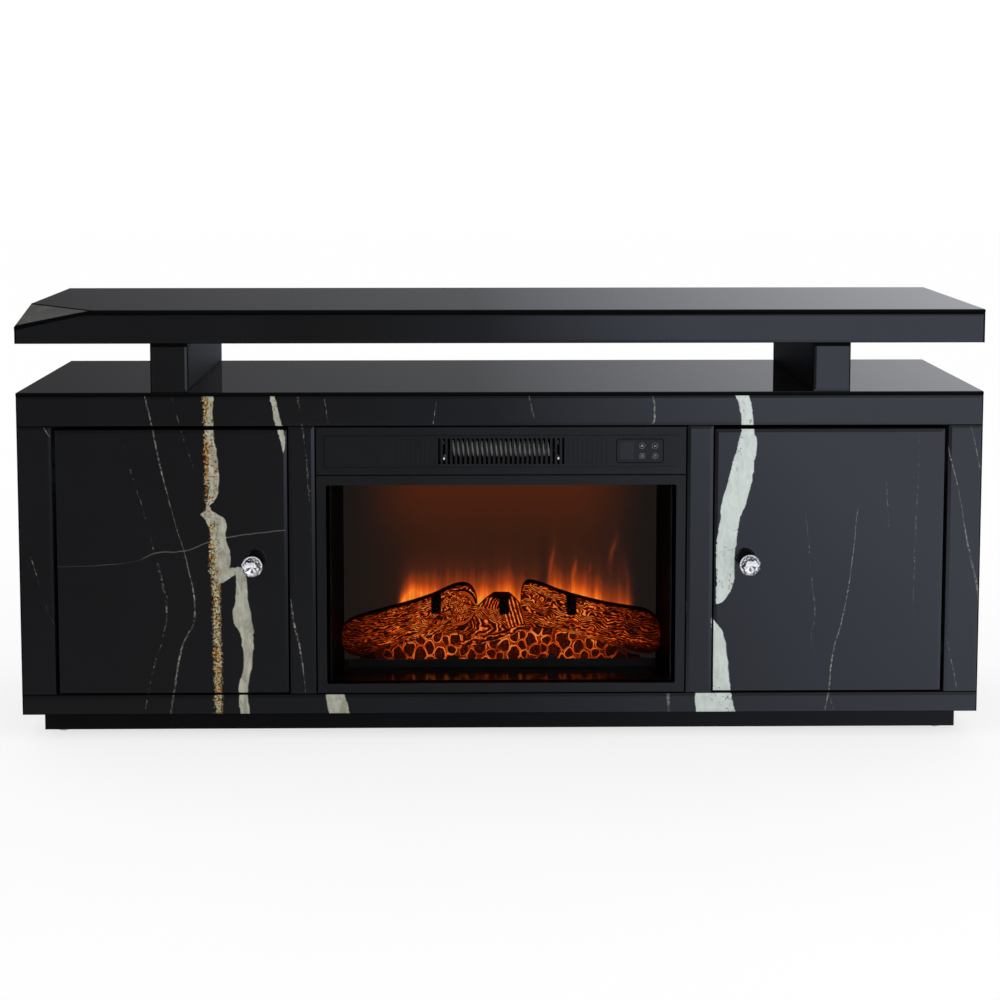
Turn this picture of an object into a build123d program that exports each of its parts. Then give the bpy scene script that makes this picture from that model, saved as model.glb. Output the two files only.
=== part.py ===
from build123d import *
import math
import os

# A media console in black glass over board, with a plug-in electric fire in its middle bay.
# The upper deck floats on two blocks, and its front left corner is cut back to a sloping facet.
# Millimetres, X to the right, Y from front to back, Z up. The origin is on the floor, at the
# centre of the whole footprint, which reaches from the crystals of the knobs to the back panels.

# ---- driving dimensions ------------------------------------------------------------------
width = 1500.0
depth = 400.0
height = 678.0
knob_reach = 34.0
front = -(depth + knob_reach) / 2 + knob_reach  # Y of the glass on the front
back = front + depth
half = width / 2

glass = 4.0  # cladding
plate = 5.0  # the two horizontal plates and the facet
bevel_run = 5.0
bevel_drop = 1.2
board = 16.0
panel = 15.0

glide_height = 8.0
glide_radius = 14.0
base_z = 41.0
floor_z = 72.0  # top of the base board
fascia_z = 497.0
deck_z = 550.0  # top of the lower deck
slab_z = 626.0  # underside of the upper deck
slab_top = height

opening_outer = 697.0  # the two cupboard openings, measured from the middle
opening_inner = 330.0
bay = 290.0  # half width of the opening for the fire

door_outer = 691.0
door_inner = 333.0
door_low = 75.5
door_high = 491.0
door_board_thick = 16.0
knob_x = 385.5
knob_z = 282.0

pivot_in = 16.0  # hinge pin, from the hinge edge of the door
pivot_back = 13.5  # hinge pin, behind the glass of the door
hinge_heights = (135.0, 431.0)
pin_radius = 2.0
run_clearance = 0.05

facet_run = 120.0  # how far the cut corner reaches along the front and along the end
facet_drop = 26.0

fire_half = 288.0
fire_low = 73.5
fire_high = 495.0
vent_low = 420.0  # the seam between the window frame and the vent panel
window_half = 273.0
window_low = 88.0
window_high = 404.0
shell_half = 268.0
shell_low = floor_z
shell_high = 491.0
shell_depth = 190.0
sheet = 1.2
hearth_z = 90.0
ceiling_z = 424.0
screen_y = 133.0
gland_x = 225.0
gland_z = 108.0


def at(d):
    """Y of a place d behind the glass on the front."""
    return front + d


def block(x0, x1, y0, y1, z0, z1):
    return Pos((x0 + x1) / 2, (y0 + y1) / 2, (z0 + z1) / 2) * Box(x1 - x0, y1 - y0, z1 - z0)


def mirrored(shape):
    return mirror(shape, about=Plane.YZ)


def pair(shape):
    """A left-hand piece and its right-hand twin."""
    return [shape, mirrored(shape)]


def rod_x(x0, x1, y, z, radius):
    return Pos((x0 + x1) / 2, y, z) * Rot(0, 90, 0) * Cylinder(radius, x1 - x0)


def rod_y(x, y0, y1, z, radius):
    return Pos(x, (y0 + y1) / 2, z) * Rot(90, 0, 0) * Cylinder(radius, y1 - y0)


def rod_z(x, y, z0, z1, radius):
    return Pos(x, y, (z0 + z1) / 2) * Cylinder(radius, z1 - z0)


def bevelled(wide, tall, thick):
    """A glass plate on the XY plane, its polished bevel round the upper face."""
    low = Plane.XY.offset(thick - bevel_drop)
    high = Plane.XY.offset(thick)
    flat = extrude(Rectangle(wide, tall), thick - bevel_drop)
    rim = loft([low * Rectangle(wide, tall), high * Rectangle(wide - 2 * bevel_run, tall - 2 * bevel_run)])
    return flat + rim


def front_glass(x0, x1, z0, z1, face=0.0):
    """A bevelled plate facing the front, its outer face at depth face."""
    lying = bevelled(x1 - x0, z1 - z0, glass)
    return Pos((x0 + x1) / 2, at(face) + glass, (z0 + z1) / 2) * Rot(90, 0, 0) * lying


def side_glass_plate(x, y0, y1, z0, z1):
    """A bevelled plate facing left, its outer face at x."""
    lying = bevelled(z1 - z0, y1 - y0, glass)
    return Pos(x + glass, (y0 + y1) / 2, (z0 + z1) / 2) * Rot(0, -90, 0) * lying


def group(solids):
    return Compound(children=list(solids)) if len(solids) > 1 else solids[0]


# ---- upper deck --------------------------------------------------------------------------
def facet_plane(offset=0.0):
    """The plane of the cut corner, or one parallel to it and offset below it."""
    a = Vector(-half, at(facet_run), slab_top)
    b = Vector(-half + facet_run, at(0), slab_top)
    c = Vector(-half, at(0), slab_top - facet_drop)
    outward = (c - a).cross(b - a).normalized()
    if outward.Z < 0:
        outward = outward * -1
    return Plane(origin=a - outward * offset, x_dir=(b - a).normalized(), z_dir=outward)


def facet_side():
    """The corner outside the upright plane through the facet's top edge."""
    reach = facet_run + 1
    corner = Polyline(
        (-half - 1, at(-1)), (-half + reach, at(-1)), (-half - 1, at(reach)), close=True
    )
    return Pos(0, 0, slab_z) * extrude(make_face(corner), slab_top - slab_z + 1)


def below(shape, plane):
    return split(shape, bisect_by=plane, keep=Keep.BOTTOM)


def above(shape, plane):
    return split(shape, bisect_by=plane, keep=Keep.TOP)


def upper_deck():
    under_facet = facet_plane(plate)
    inner = half - glass
    top_board = block(-inner, inner, at(glass), back, slab_top - plate - 12, slab_top - plate)
    low_board = block(-inner, inner, at(glass), back, slab_z, slab_z + 9)
    rib_low, rib_high = slab_z + 9, slab_top - plate - 12
    rib = 30.0
    ribs = [
        block(-inner, inner, at(glass), at(glass) + rib, rib_low, rib_high),
        block(-inner, inner, back - rib, back, rib_low, rib_high),
        block(-inner, -inner + rib, at(glass) + rib, back - rib, rib_low, rib_high),
        block(inner - rib, inner, at(glass) + rib, back - rib, rib_low, rib_high),
    ]
    for x in (-513.0, 0.0, 513.0):
        ribs.append(block(x - rib / 2, x + rib / 2, at(glass) + rib, back - rib, rib_low, rib_high))
    core = [below(top_board, under_facet), low_board] + [below(r, under_facet) for r in ribs]

    top_glass = block(-half, half, at(0), back, slab_top - plate, slab_top)
    top_edges = top_glass.edges().group_by(Axis.Z)[-1]
    top_glass = chamfer(top_edges, 1.0) - facet_side()

    whole = block(-half, half, at(0), back, slab_z, slab_top)
    facet = below(above(whole, under_facet), facet_plane()) & facet_side()

    edge_high = slab_top - plate
    front_edge = below(front_glass(-half, half, slab_z, edge_high), under_facet)
    left_edge = below(side_glass_plate(-half, at(glass), back, slab_z, edge_high), under_facet)
    right_edge = mirrored(side_glass_plate(-half, at(glass), back, slab_z, edge_high))
    return {
        "slab_core": core,
        "slab_top_glass": [top_glass],
        "slab_edge_glass": [front_edge, left_edge, right_edge],
        "slab_corner_glass": [facet],
    }


def deck_supports():
    outer, inner = 542.0, 484.0
    rear = back - 6
    core = block(-outer + glass, -inner - glass, at(1 + glass), rear, deck_z, slab_z)
    face = front_glass(-outer, -inner, deck_z, slab_z, face=1.0)
    outside = side_glass_plate(-outer, at(1 + glass), rear, deck_z, slab_z)
    inside = Pos(-inner - outer, 0, 0) * mirrored(outside)
    return {
        "support_blocks": pair(core),
        "support_glass": pair(face) + pair(outside) + pair(inside),
    }


# ---- cabinet -----------------------------------------------------------------------------
pin_y = (at(120), at(330))
pin_z = 271.0
shelf_pin_radius = 2.5


def shelf_pin(x0, x1, y):
    return rod_x(x0, x1, y, pin_z, shelf_pin_radius)


def carcass():
    inner = half - glass
    rear = back - plate
    side = block(-inner, -inner + panel, at(glass), rear, floor_z, deck_z - plate)
    divider = block(-opening_inner, -opening_inner + board, at(glass), rear, floor_z, deck_z - plate - board)
    pins = []
    for y in pin_y:
        outer_pin = shelf_pin(-inner + panel - 8, -inner + panel + 7, y)
        inner_pin = shelf_pin(-opening_inner - 7, -opening_inner + 8, y)
        side -= outer_pin
        divider -= inner_pin
        pins += [outer_pin, inner_pin]
    stile_post = block(-inner + panel, -opening_outer, at(glass), at(84), floor_z, fascia_z)
    bay_post = block(-opening_inner + board, -bay, at(glass), at(64), floor_z, fascia_z)

    deck_low = deck_z - plate - board
    deck_board = block(-inner + panel, inner - panel, at(glass), rear, deck_low, deck_z - plate)
    fascia_board = block(-inner + panel, inner - panel, at(glass), at(glass) + board, fascia_z, deck_low)
    for x in (-1, 1):
        corner = x * (opening_inner - board / 2)
        fascia_board -= block(corner - board / 2, corner + board / 2, at(0), back, fascia_z, deck_low)

    base_board = block(-inner, inner, at(glass), rear, floor_z - board, floor_z)
    batten = 24.0
    battens = [
        block(-inner, inner, at(glass), at(glass) + batten, base_z, floor_z - board),
        block(-inner, inner, rear - batten, rear, base_z, floor_z - board),
        block(-inner, -inner + batten, at(glass) + batten, rear - batten, base_z, floor_z - board),
        block(inner - batten, inner, at(glass) + batten, rear - batten, base_z, floor_z - board),
    ]

    inset = 28.0
    px, py0, py1 = half - inset, at(30), back - 30
    plinth = [
        block(-px, px, py0, py0 + board, glide_height, base_z),
        block(-px, px, py1 - board, py1, glide_height, base_z),
        block(-px, -px + board, py0 + board, py1 - board, glide_height, base_z),
        block(px - board, px, py0 + board, py1 - board, glide_height, base_z),
        block(-board / 2, board / 2, py0 + board, py1 - board, glide_height, base_z),
    ]
    corners = block(-px + board, -px + board + 44, py0 + board, py0 + board + 44, glide_height, base_z)
    far = block(-px + board, -px + board + 44, py1 - board - 44, py1 - board, glide_height, base_z)
    plinth += pair(corners) + pair(far)
    return {
        "side_panels": pair(side),
        "divider_boards": pair(divider),
        "front_posts": pair(stile_post) + pair(bay_post),
        "deck_boards": [deck_board] + list(fascia_board.solids()),
        "base_board": [base_board] + battens,
        "plinth_boards": plinth,
        "shelf_pins": pins + [mirrored(p) for p in pins],
    }


def glides():
    """Domed nail-on glides: a shallow dome with a small flat at the bottom."""
    flat = 5.0
    profile = Polyline(
        (0, 0), (flat, 0), (9.5, 1.6), (12.6, 4.2), (glide_radius, glide_height), (0, glide_height), close=True
    )
    dome = revolve(make_face(Plane.XZ * profile), Axis.Z)
    x = half - 28 - 25
    places = [(sx * x, y) for sx in (-1, 1) for y in (at(55), back - 55)]
    return {"glide_feet": [Pos(px, py, 0) * dome for px, py in places]}


def cladding():
    rear = back - plate
    deck_glass = block(-half, half, at(0), back, deck_z - plate, deck_z)
    deck_glass = chamfer(deck_glass.edges().group_by(Axis.Z)[-1], 1.0)
    side = side_glass_plate(-half, at(glass), rear, base_z, deck_z - plate)
    return {
        "deck_glass": [deck_glass],
        "fascia_glass": [front_glass(-half, half, fascia_z, deck_z - plate)],
        "base_rail_glass": [front_glass(-half, half, base_z, floor_z)],
        "side_glass": pair(side),
        "stile_glass": pair(front_glass(-half, -opening_outer, floor_z, fascia_z))
        + pair(front_glass(-opening_inner, -bay, floor_z, fascia_z)),
    }


port_radius = 25.0
flex_port_radius = 22.0
port_z = 380.0
port_x = 530.0


screw_x = (310.0, 334.0, 530.0, 738.0)
screw_z = (64.0, 536.0)
head_radius = 3.6


def panel_screw(x, z, slack):
    """A screw let into the back: a flush head and the shank through the panel."""
    head = rod_y(x, back - 1.6, back, z, head_radius + slack)
    return head + rod_y(x, back - plate, back - 1.6, z, 1.6 + slack)


def rear_panels():
    """Three thin panels: a cable port in each outer one, and a vent and cable slot in the middle."""
    low, high = base_z, deck_z - plate
    seam = opening_inner - board / 2
    left = block(-half + glass, -seam - 0.5, back - plate, back, low, high)
    left -= rod_y(-port_x, back - plate - 1, back + 1, port_z, port_radius)
    middle = block(-seam + 0.5, seam - 0.5, back - plate, back, low, high)
    slot = Pos(0, back - plate / 2, 420) * Rot(90, 0, 0) * extrude(SlotOverall(260, 70), plate, both=True)
    middle -= slot
    middle -= rod_y(gland_x, back - plate - 1, back + 1, gland_z, flex_port_radius)
    for row in range(5):
        vent = SlotOverall(140, 10)
        middle -= Pos(0, back - plate / 2, 130 + row * 24) * Rot(90, 0, 0) * extrude(vent, plate, both=True)
    panels = [left, mirrored(left), middle]
    fixings = []
    for x in screw_x:
        for z in screw_z:
            for side in (-1, 1):
                fixings.append(panel_screw(side * x, z, 0.0))
                panels = [p - panel_screw(side * x, z, 0.1) for p in panels]
    return {"back_panels": panels, "panel_screws": fixings}


def cupboard_shelves():
    gap = 1.0
    low = pin_z + shelf_pin_radius
    shelf = block(-half + glass + panel + gap, -opening_inner - gap, at(88), back - plate - 4, low, low + panel)
    return {"shelves": pair(shelf)}


# ---- doors and their hinges --------------------------------------------------------------
cup_radius = 17.5
cup_in = 22.5  # cup centre, from the hinge edge
cup_deep = 11.5
cup_wall = 1.0
arm_half_height = 5.0
arm_thick = 3.0
arm_sweep = 25.0  # radius of the swan neck round the pin
arm_lean = 60.0  # degrees from straight back to the arm's exit from the cup


def hinge_cup(z):
    """The steel cup let into the back of the left door, with two lugs that carry the pin."""
    x = -door_outer + cup_in
    rear = at(glass + door_board_thick)
    cup = rod_y(x, rear - cup_deep, rear, z, cup_radius)
    flange = Pos(x, rear + 0.6, z) * Rot(90, 0, 0) * extrude(SlotOverall(58, 26, rotation=90), 0.6, both=True)
    cup += flange
    cup -= rod_y(x, rear - cup_deep + cup_wall, rear + 2, z, cup_radius - cup_wall)
    px, py = -door_outer + pivot_in, at(pivot_back)
    for side in (-1, 1):
        low = z + side * (arm_half_height + 2.0) - 1.5
        lug = block(px - 3.5, px + 3.5, rear - cup_deep + cup_wall - 0.2, py + 3.5, low, low + 3.0)
        cup += lug
    return cup - rod_z(px, py, z - 12, z + 12, pin_radius + run_clearance)


def hinge_arm(z):
    """The fixed swan-neck arm of the left door, from its plate on the post to the eye on the pin."""
    px, py = -door_outer + pivot_in, at(pivot_back)

    def polar(radius, degrees):
        lean = math.radians(degrees)
        return (px + radius * math.sin(lean), py + radius * math.cos(lean))

    inner, outer = arm_sweep - arm_thick / 2, arm_sweep + arm_thick / 2
    slack = math.degrees(math.asin(arm_thick / 2 / inner))
    post_x = -opening_outer
    ring = Pos(px, py) * Circle(3.4)
    spoke = trace(Polyline((px, py), polar(inner + 1, arm_lean)), arm_thick)
    neck = make_face(
        Curve() + [
            CenterArc((px, py), outer, 90 - arm_lean - slack, arm_lean + slack),
            Line((px, py + outer), (post_x, py + outer)),
            Line((post_x, py + outer), (post_x, py + inner)),
            Line((post_x, py + inner), (px, py + inner)),
            CenterArc((px, py), inner, 90 - arm_lean - slack, arm_lean + slack),
            Line(polar(inner, arm_lean + slack), polar(outer, arm_lean + slack)),
        ]
    )
    arm = Pos(0, 0, z - arm_half_height) * extrude(ring + spoke + neck, 2 * arm_half_height)
    foot = block(post_x, post_x + 3, at(33), at(78), z - 11, z + 11)
    for y in (at(52), at(70)):
        foot -= rod_x(post_x - 1, post_x + 4, y, z, 2.2)
    arm += foot
    return arm - rod_z(px, py, z - 12, z + 12, pin_radius)


def hinge_pin(z):
    return rod_z(-door_outer + pivot_in, at(pivot_back), z - 8.5, z + 8.5, pin_radius)


def knob():
    """A turned knob facing the front at the origin: its base with the screw, and the crystal."""
    turned = Polyline(
        (0, 0), (11, 0), (11, 2), (6.5, 4), (5.5, 8), (8.5, 12), (13.2, 15.5), (13.8, 19), (0, 19), close=True
    )
    base = revolve(make_face(Plane.XZ * turned), Axis.Z)
    sides = 12
    girdle, table = 16.5, 8.5
    skirt = loft([Plane.XY.offset(19) * RegularPolygon(13.6, sides), Plane.XY.offset(24) * RegularPolygon(girdle, sides)])
    crown = loft([
        Plane.XY.offset(24) * RegularPolygon(girdle, sides),
        Plane.XY.offset(knob_reach) * RegularPolygon(table, sides),
    ])
    return base, skirt + crown


def doors():
    rear = at(glass + door_board_thick)
    door_board = block(-door_outer, -door_inner, at(glass), rear, door_low, door_high)
    cups = [hinge_cup(z) for z in hinge_heights]
    for z in hinge_heights:
        door_board -= rod_y(-door_outer + cup_in, rear - cup_deep, rear + 1, z, cup_radius)
    screw_hole = 2.5
    door_board -= rod_y(-knob_x, at(0), rear + 1, knob_z, screw_hole)
    face = front_glass(-door_outer, -door_inner, door_low, door_high)
    face -= rod_y(-knob_x, at(-1), at(glass + 1), knob_z, screw_hole)
    base, crystal = knob()
    facing = Pos(-knob_x, at(0), knob_z) * Rot(90, 0, 0)
    screw = rod_y(-knob_x, at(0), rear, knob_z, screw_hole - 0.3)
    head = rod_y(-knob_x, rear, rear + 2.4, knob_z, 4.5)
    left = {
        "board": [door_board],
        "glass": [face],
        "knob_base": [facing * base + screw + head],
        "crystal": [facing * crystal],
        "hinge_cups": cups,
    }
    made = {}
    for name, solids in left.items():
        made["door_left_" + name] = solids
        made["door_right_" + name] = [mirrored(s) for s in solids]
    arms = [hinge_arm(z) for z in hinge_heights]
    pins = [hinge_pin(z) for z in hinge_heights]
    made["hinge_arms"] = arms + [mirrored(a) for a in arms]
    made["hinge_pins"] = pins + [mirrored(p) for p in pins]
    return made


# ---- the fire's front --------------------------------------------------------------------
face_in = 1.0  # the fire's face is this far behind the glass
slat_count = 27
slat_pitch = 7.4
slot_wide = 3.8
grille_low, grille_high = 437.0, 478.0
field_half = 275.0
control_x0, control_x1 = 179.5, 251.5
control_z0, control_z1 = 439.5, 475.5
button_radius = 5.5
button_places = {
    "button_up": (219.0, 465.4),
    "button_down": (239.2, 465.4),
    "button_timer": (219.0, 449.4),
    "button_power": (239.2, 449.4),
}
button_travel = 0.8


def rounded(x0, x1, z0, z1, y0, y1, radius):
    """A block facing the front with rounded corners."""
    shape = RectangleRounded(x1 - x0, z1 - z0, radius)
    return Pos((x0 + x1) / 2, y1, (z0 + z1) / 2) * Rot(90, 0, 0) * extrude(shape, y1 - y0)


def window_frame():
    """A folded steel frame: a face with a return all round, and a sloping inner lip to the glass."""
    deep = 14.0
    outer = block(-fire_half, fire_half, at(face_in), at(face_in + deep), fire_low, vent_low - 0.8)
    outer = chamfer(outer.edges().group_by(Axis.Y)[0], 0.8)
    hollow = block(-fire_half + 1.5, fire_half - 1.5, at(face_in + 1.5), back, fire_low + 1.5, vent_low - 2.3)
    shell = outer - hollow
    lip = 4.0
    mouth = rounded(-window_half, window_half, window_low, window_high, at(face_in), at(face_in + 6), 3)
    tube = rounded(
        -window_half - 1.5, window_half + 1.5, window_low - 1.5, window_high + 1.5,
        at(face_in + 1.5), at(face_in + 1.5 + lip), 4,
    )
    return {"window_frame": [shell + tube - mouth]}


def window_glass():
    y = at(face_in + 5.5)
    pane = block(-window_half - 9, window_half + 9, y, y + 4, window_low - 9, window_high + 9)
    return {"window_glass": [pane]}


def vent_panel():
    """A moulded panel: a raised field, blind ribs either side of the outlet's slats, and a control cut-out."""
    face, thick = face_in, 3.0
    body = block(-fire_half, fire_half, at(face), at(face + 14), vent_low, fire_high)
    body = chamfer(body.edges().group_by(Axis.Y)[0], 0.8)
    body -= block(-fire_half + 2, fire_half - 2, at(face + thick), back, vent_low + 2, fire_high - 2)
    field = block(-field_half, field_half, at(face - 1), at(face), 432.5, 482.0)
    body += chamfer(field.edges().group_by(Axis.Y)[0], 0.5)
    first = -(slat_count - 1) / 2 * slat_pitch
    for i in range(slat_count):
        x = first + i * slat_pitch
        body -= block(x - slot_wide / 2, x + slot_wide / 2, at(-1), at(face + thick), grille_low, grille_high)
    for i in range(9):
        x = first - (i + 1) * slat_pitch
        for groove in (x, -x):
            body -= block(groove - 1.1, groove + 1.1, at(-1), at(0.8), grille_low, grille_high)
    body -= rounded(control_x0 - 1, control_x1 + 1, control_z0 - 1, control_z1 + 1, at(-2), at(face + thick), 5)
    return {"vent_panel": [body]}


def control_module():
    """The control insert, its display lens and four push buttons that travel inwards."""
    face = 0.2
    board_y = at(9)
    body = rounded(control_x0, control_x1, control_z0, control_z1, at(face), at(face + 4), 4)
    body -= block(184.6, 206.8, at(-1), at(face + 1.2), 443.6, 471.4)
    caps = {}
    for name, (x, z) in button_places.items():
        body -= rod_y(x, at(-1), at(face + 5), z, button_radius + 0.3)
        stem = rod_y(x, at(face + 1), board_y - 1.2, z, 2.2)
        cap = rod_y(x, at(face - 0.5), at(face + 3), z, button_radius)
        cap = chamfer(cap.edges().group_by(Axis.Y)[0], 0.5)
        caps[name] = [cap + stem]
        caps[name][0] += rod_y(x, at(face + 4.1), at(face + 4.9), z, 6.3)
    for x in (control_x0 + 5, control_x1 - 5):
        for z in (control_z0 + 4, control_z1 - 4):
            body += rod_y(x, at(face + 4), board_y, z, 1.5)
    lens = block(184.8, 206.6, at(face + 0.2), at(face + 1.2), 443.8, 471.2)
    pcb = block(control_x0 + 2, control_x1 - 2, board_y, board_y + 1.6, control_z0 + 1, control_z1 - 1)
    chips = [
        block(188, 204, board_y + 1.6, board_y + 5, 449, 465),
        block(214, 222, board_y + 1.6, board_y + 4, 454, 461),
        block(232, 245, board_y + 1.6, board_y + 7, 445, 452),
    ]
    for chip in chips:
        pcb += chip
    return {"control_plate": [body], "display_lens": [lens], "circuit_boards": [pcb], **caps}


# ---- the fire's inside -------------------------------------------------------------------
def fire_shell():
    """Five sheets: a wrapper of top, bottom and sides, and a back with a hole for the gland."""
    y0, y1 = at(face_in + 14), at(shell_depth)
    rear_sheet = block(-shell_half, shell_half, y1, y1 + sheet, shell_low, shell_high)
    rear_sheet -= rod_y(gland_x, y1 - 1, y1 + 3, gland_z, 7.0)
    side = block(-shell_half, -shell_half + sheet, y0, y1, shell_low + sheet, shell_high - sheet)
    return [
        block(-shell_half, shell_half, y0, y1, shell_high - sheet, shell_high),
        block(-shell_half, shell_half, y0, y1, shell_low, shell_low + sheet),
        side,
        mirrored(side),
        rear_sheet,
    ]


def mains_gland():
    """A bush that lines the hole where the flex leaves the back of the fire."""
    y = at(shell_depth)
    bush = rod_y(gland_x, y, y + sheet, gland_z, 6.9)
    bush += rod_y(gland_x, y - 2, y, gland_z, 9.0)
    bush += rod_y(gland_x, y + sheet, y + sheet + 6, gland_z, 9.5)
    bush -= rod_y(gland_x, y - 5, y + 12, gland_z, 4.0)
    return {"mains_gland": [bush]}


def firebox():
    """Splayed side linings, hearth and ceiling round the logs, and the screen behind them."""
    low, high = hearth_z, ceiling_z - sheet
    outline = Polyline(
        (-shell_half + sheet, at(17)), (-window_half + 8, at(17)), (-255, at(screen_y)),
        (-255 - sheet, at(screen_y)), (-shell_half + sheet, at(20)), close=True,
    )
    lining = Pos(0, 0, low) * extrude(make_face(outline), high - low)
    hearth = block(-shell_half + sheet, shell_half - sheet, at(15.5), at(screen_y + 3), hearth_z - 2, hearth_z)
    roof = block(-shell_half + sheet, shell_half - sheet, at(17), at(shell_depth), high, ceiling_z)
    screen = block(-262, 262, at(screen_y), at(screen_y + 3), hearth_z, high)
    return {
        "firebox_liner": pair(lining) + [hearth, roof],
        "flame_screen": [screen],
    }


tray_y = 86.0


def log_between(x0, y0, z0, r0, x1, y1, z1, r1):
    """A plain tapered log from one end to the other."""
    start, end = Vector(x0, y0, z0), Vector(x1, y1, z1)
    along = (end - start).normalized()
    a = Plane(origin=start, z_dir=along)
    b = Plane(origin=end, z_dir=along)
    return loft([a * RegularPolygon(r0, 12), b * RegularPolygon(r1, 12)])


def log_set():
    """One moulded piece: two long logs, a short one between them, and the ember bed in front."""
    left = log_between(-232, at(116), 142, 19, -62, at(102), 187, 31)
    right = log_between(44, at(102), 194, 31, 236, at(116), 150, 20)
    middle = log_between(0, at(104), 128, 30, 0, at(108), 198, 27)
    bed_side = Polyline(
        (at(90), 97), (at(90), 112), (at(98), 136), (at(112), 148), (at(128), 148), (at(128), 97), close=True
    )
    bed = extrude(make_face(Plane.YZ * bed_side), 225, both=True)
    keep = block(-252, 252, at(tray_y + 2.5), at(130), 96, 260)
    lamp_tunnel = block(-195, 195, at(99), at(121), 90, 120)
    body = ((bed + left + right + middle) & keep) - lamp_tunnel
    return {"log_set": [body]}


def log_tray():
    """A channel under the logs with a front lip and clips that hold the moulding."""
    floor = block(-245, 245, at(tray_y), at(130), hearth_z, hearth_z + 1.5)
    lip = block(-245, 245, at(tray_y), at(tray_y + 2), hearth_z + 1.5, hearth_z + 13)
    tray = floor + lip
    for x in (-76.0, 84.0):
        tray += block(x - 8, x + 8, at(tray_y), at(tray_y + 2), hearth_z + 13, hearth_z + 19)
    return {"log_tray": [tray]}


def ember_lights():
    """A lamp board under the moulding and another behind the screen, each with a row of lamps."""
    made = []
    for y, z, count in ((at(110), hearth_z + 1.5, 12), (at(176), shell_low + sheet, 12)):
        strip = block(-180, 180, y - 6, y + 6, z, z + 1.6)
        for i in range(count):
            x = -165 + i * 30
            strip += block(x - 2.5, x + 2.5, y - 2.5, y + 2.5, z + 1.6, z + 3.4)
        made.append(strip)
    return {"led_strips": made}


rotor_y, rotor_z = 155.0, 122.0
rotor_shaft = 3.0


def flame_spinner():
    """The spindle of bright flags that throws moving light on the screen, its motor and its bush."""
    x0, x1 = -222.0, 214.0
    spindle = rod_x(x0 - 9, x1 + 9, at(rotor_y), rotor_z, rotor_shaft)
    flags = 14
    for i in range(flags):
        x = x0 + 10 + (x1 - x0 - 20) * i / (flags - 1)
        turn = 47.0 * i
        flag = Pos(x, at(rotor_y), rotor_z) * Rot(turn, 0, 0) * Box(16, 0.8, 25)
        spindle += flag
    motor = rod_x(x1 + 5, x1 + 35, at(rotor_y), rotor_z, 19)
    motor += block(x1 + 33, x1 + 35, at(rotor_y) - 12, at(rotor_y) + 12, shell_low + sheet, rotor_z + 26)
    motor += block(x1 + 33, x1 + 50, at(rotor_y) - 12, at(rotor_y) + 12, shell_low + sheet, shell_low + sheet + 2)
    motor -= rod_x(x1, x1 + 9.5, at(rotor_y), rotor_z, rotor_shaft + run_clearance)
    bracket = block(x0 - 9.5, x0 - 5, at(rotor_y) - 9, at(rotor_y) + 9, hearth_z - 8, rotor_z + 9)
    bracket += block(x0 - 32, x0 - 5, at(rotor_y) - 9, at(rotor_y) + 9, shell_low + sheet, hearth_z - 6)
    bracket -= rod_x(x0 - 12, x0, at(rotor_y), rotor_z, rotor_shaft + run_clearance)
    return {"flame_rotor": [spindle], "rotor_motor": [motor], "rotor_bracket": [bracket]}


fan_y, fan_z = 92.0, 457.0
fan_half = 92.0
fan_radius = 17.0


def heater():
    """A tangential fan in a scroll blows through the element and out of the slats."""
    shaft = rod_x(-fan_half - 12, fan_half + 12, at(fan_y), fan_z, 2.5)
    wheel = shaft
    for x in (-fan_half, 0.0, fan_half - 2):
        wheel += rod_x(x, x + 2, at(fan_y), fan_z, fan_radius)
    blades = 18
    for i in range(blades):
        turn = 360.0 * i / blades
        blade = Pos(0, at(fan_y), fan_z) * Rot(turn, 0, 0) * Pos(0, 0, fan_radius - 3) * Rot(28, 0, 0)
        wheel += blade * Box(2 * fan_half, 0.8, 5.4)
    low, high = ceiling_z, shell_high - 5
    x0 = fan_half + 10
    housing = block(-x0, x0, at(46), at(118), low, high)
    housing -= block(-x0 + 1.5, x0 - 1.5, at(45), at(116.5), low + 1.5, high - 1.5)
    housing -= block(-x0 + 12, x0 - 12, at(110), at(120), low + 8, high - 8)
    for side in (-1, 1):
        housing -= rod_x(side * x0 - 4, side * x0 + 4, at(fan_y), fan_z, 2.5 + run_clearance)
    motor = rod_x(x0 + 1, x0 + 34, at(fan_y), fan_z, 20)
    motor += block(x0, x0 + 1, at(fan_y) - 24, at(fan_y) + 24, fan_z - 22, fan_z + 22)
    motor -= rod_x(x0 - 1, x0 + 4, at(fan_y), fan_z, 2.5 + run_clearance)

    y0, y1 = at(20), at(46)
    frame = block(-97, 97, y0, y1, fan_z - 20, fan_z - 18) + block(-97, 97, y0, y1, fan_z + 16, fan_z + 18)
    for x in (-97, 95):
        frame += block(x, x + 2, y0, y1, fan_z - 20, fan_z + 18)
    core = rod_x(-95, 95, at(30), fan_z, 5.0)
    rings = Pos(-80, at(30), fan_z) * Rot(0, 90, 0) * Torus(8.0, 1.2)
    element = frame + core
    for i in range(21):
        element += Pos(i * 8.0, 0, 0) * rings + Pos(-80 + i * 8.0, at(30), fan_z + 6.0) * Box(1.6, 1.6, 5)
    return {
        "fan_rotor": [wheel],
        "fan_housing": [housing],
        "fan_motor": [motor],
        "heating_element": [element],
    }


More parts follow.
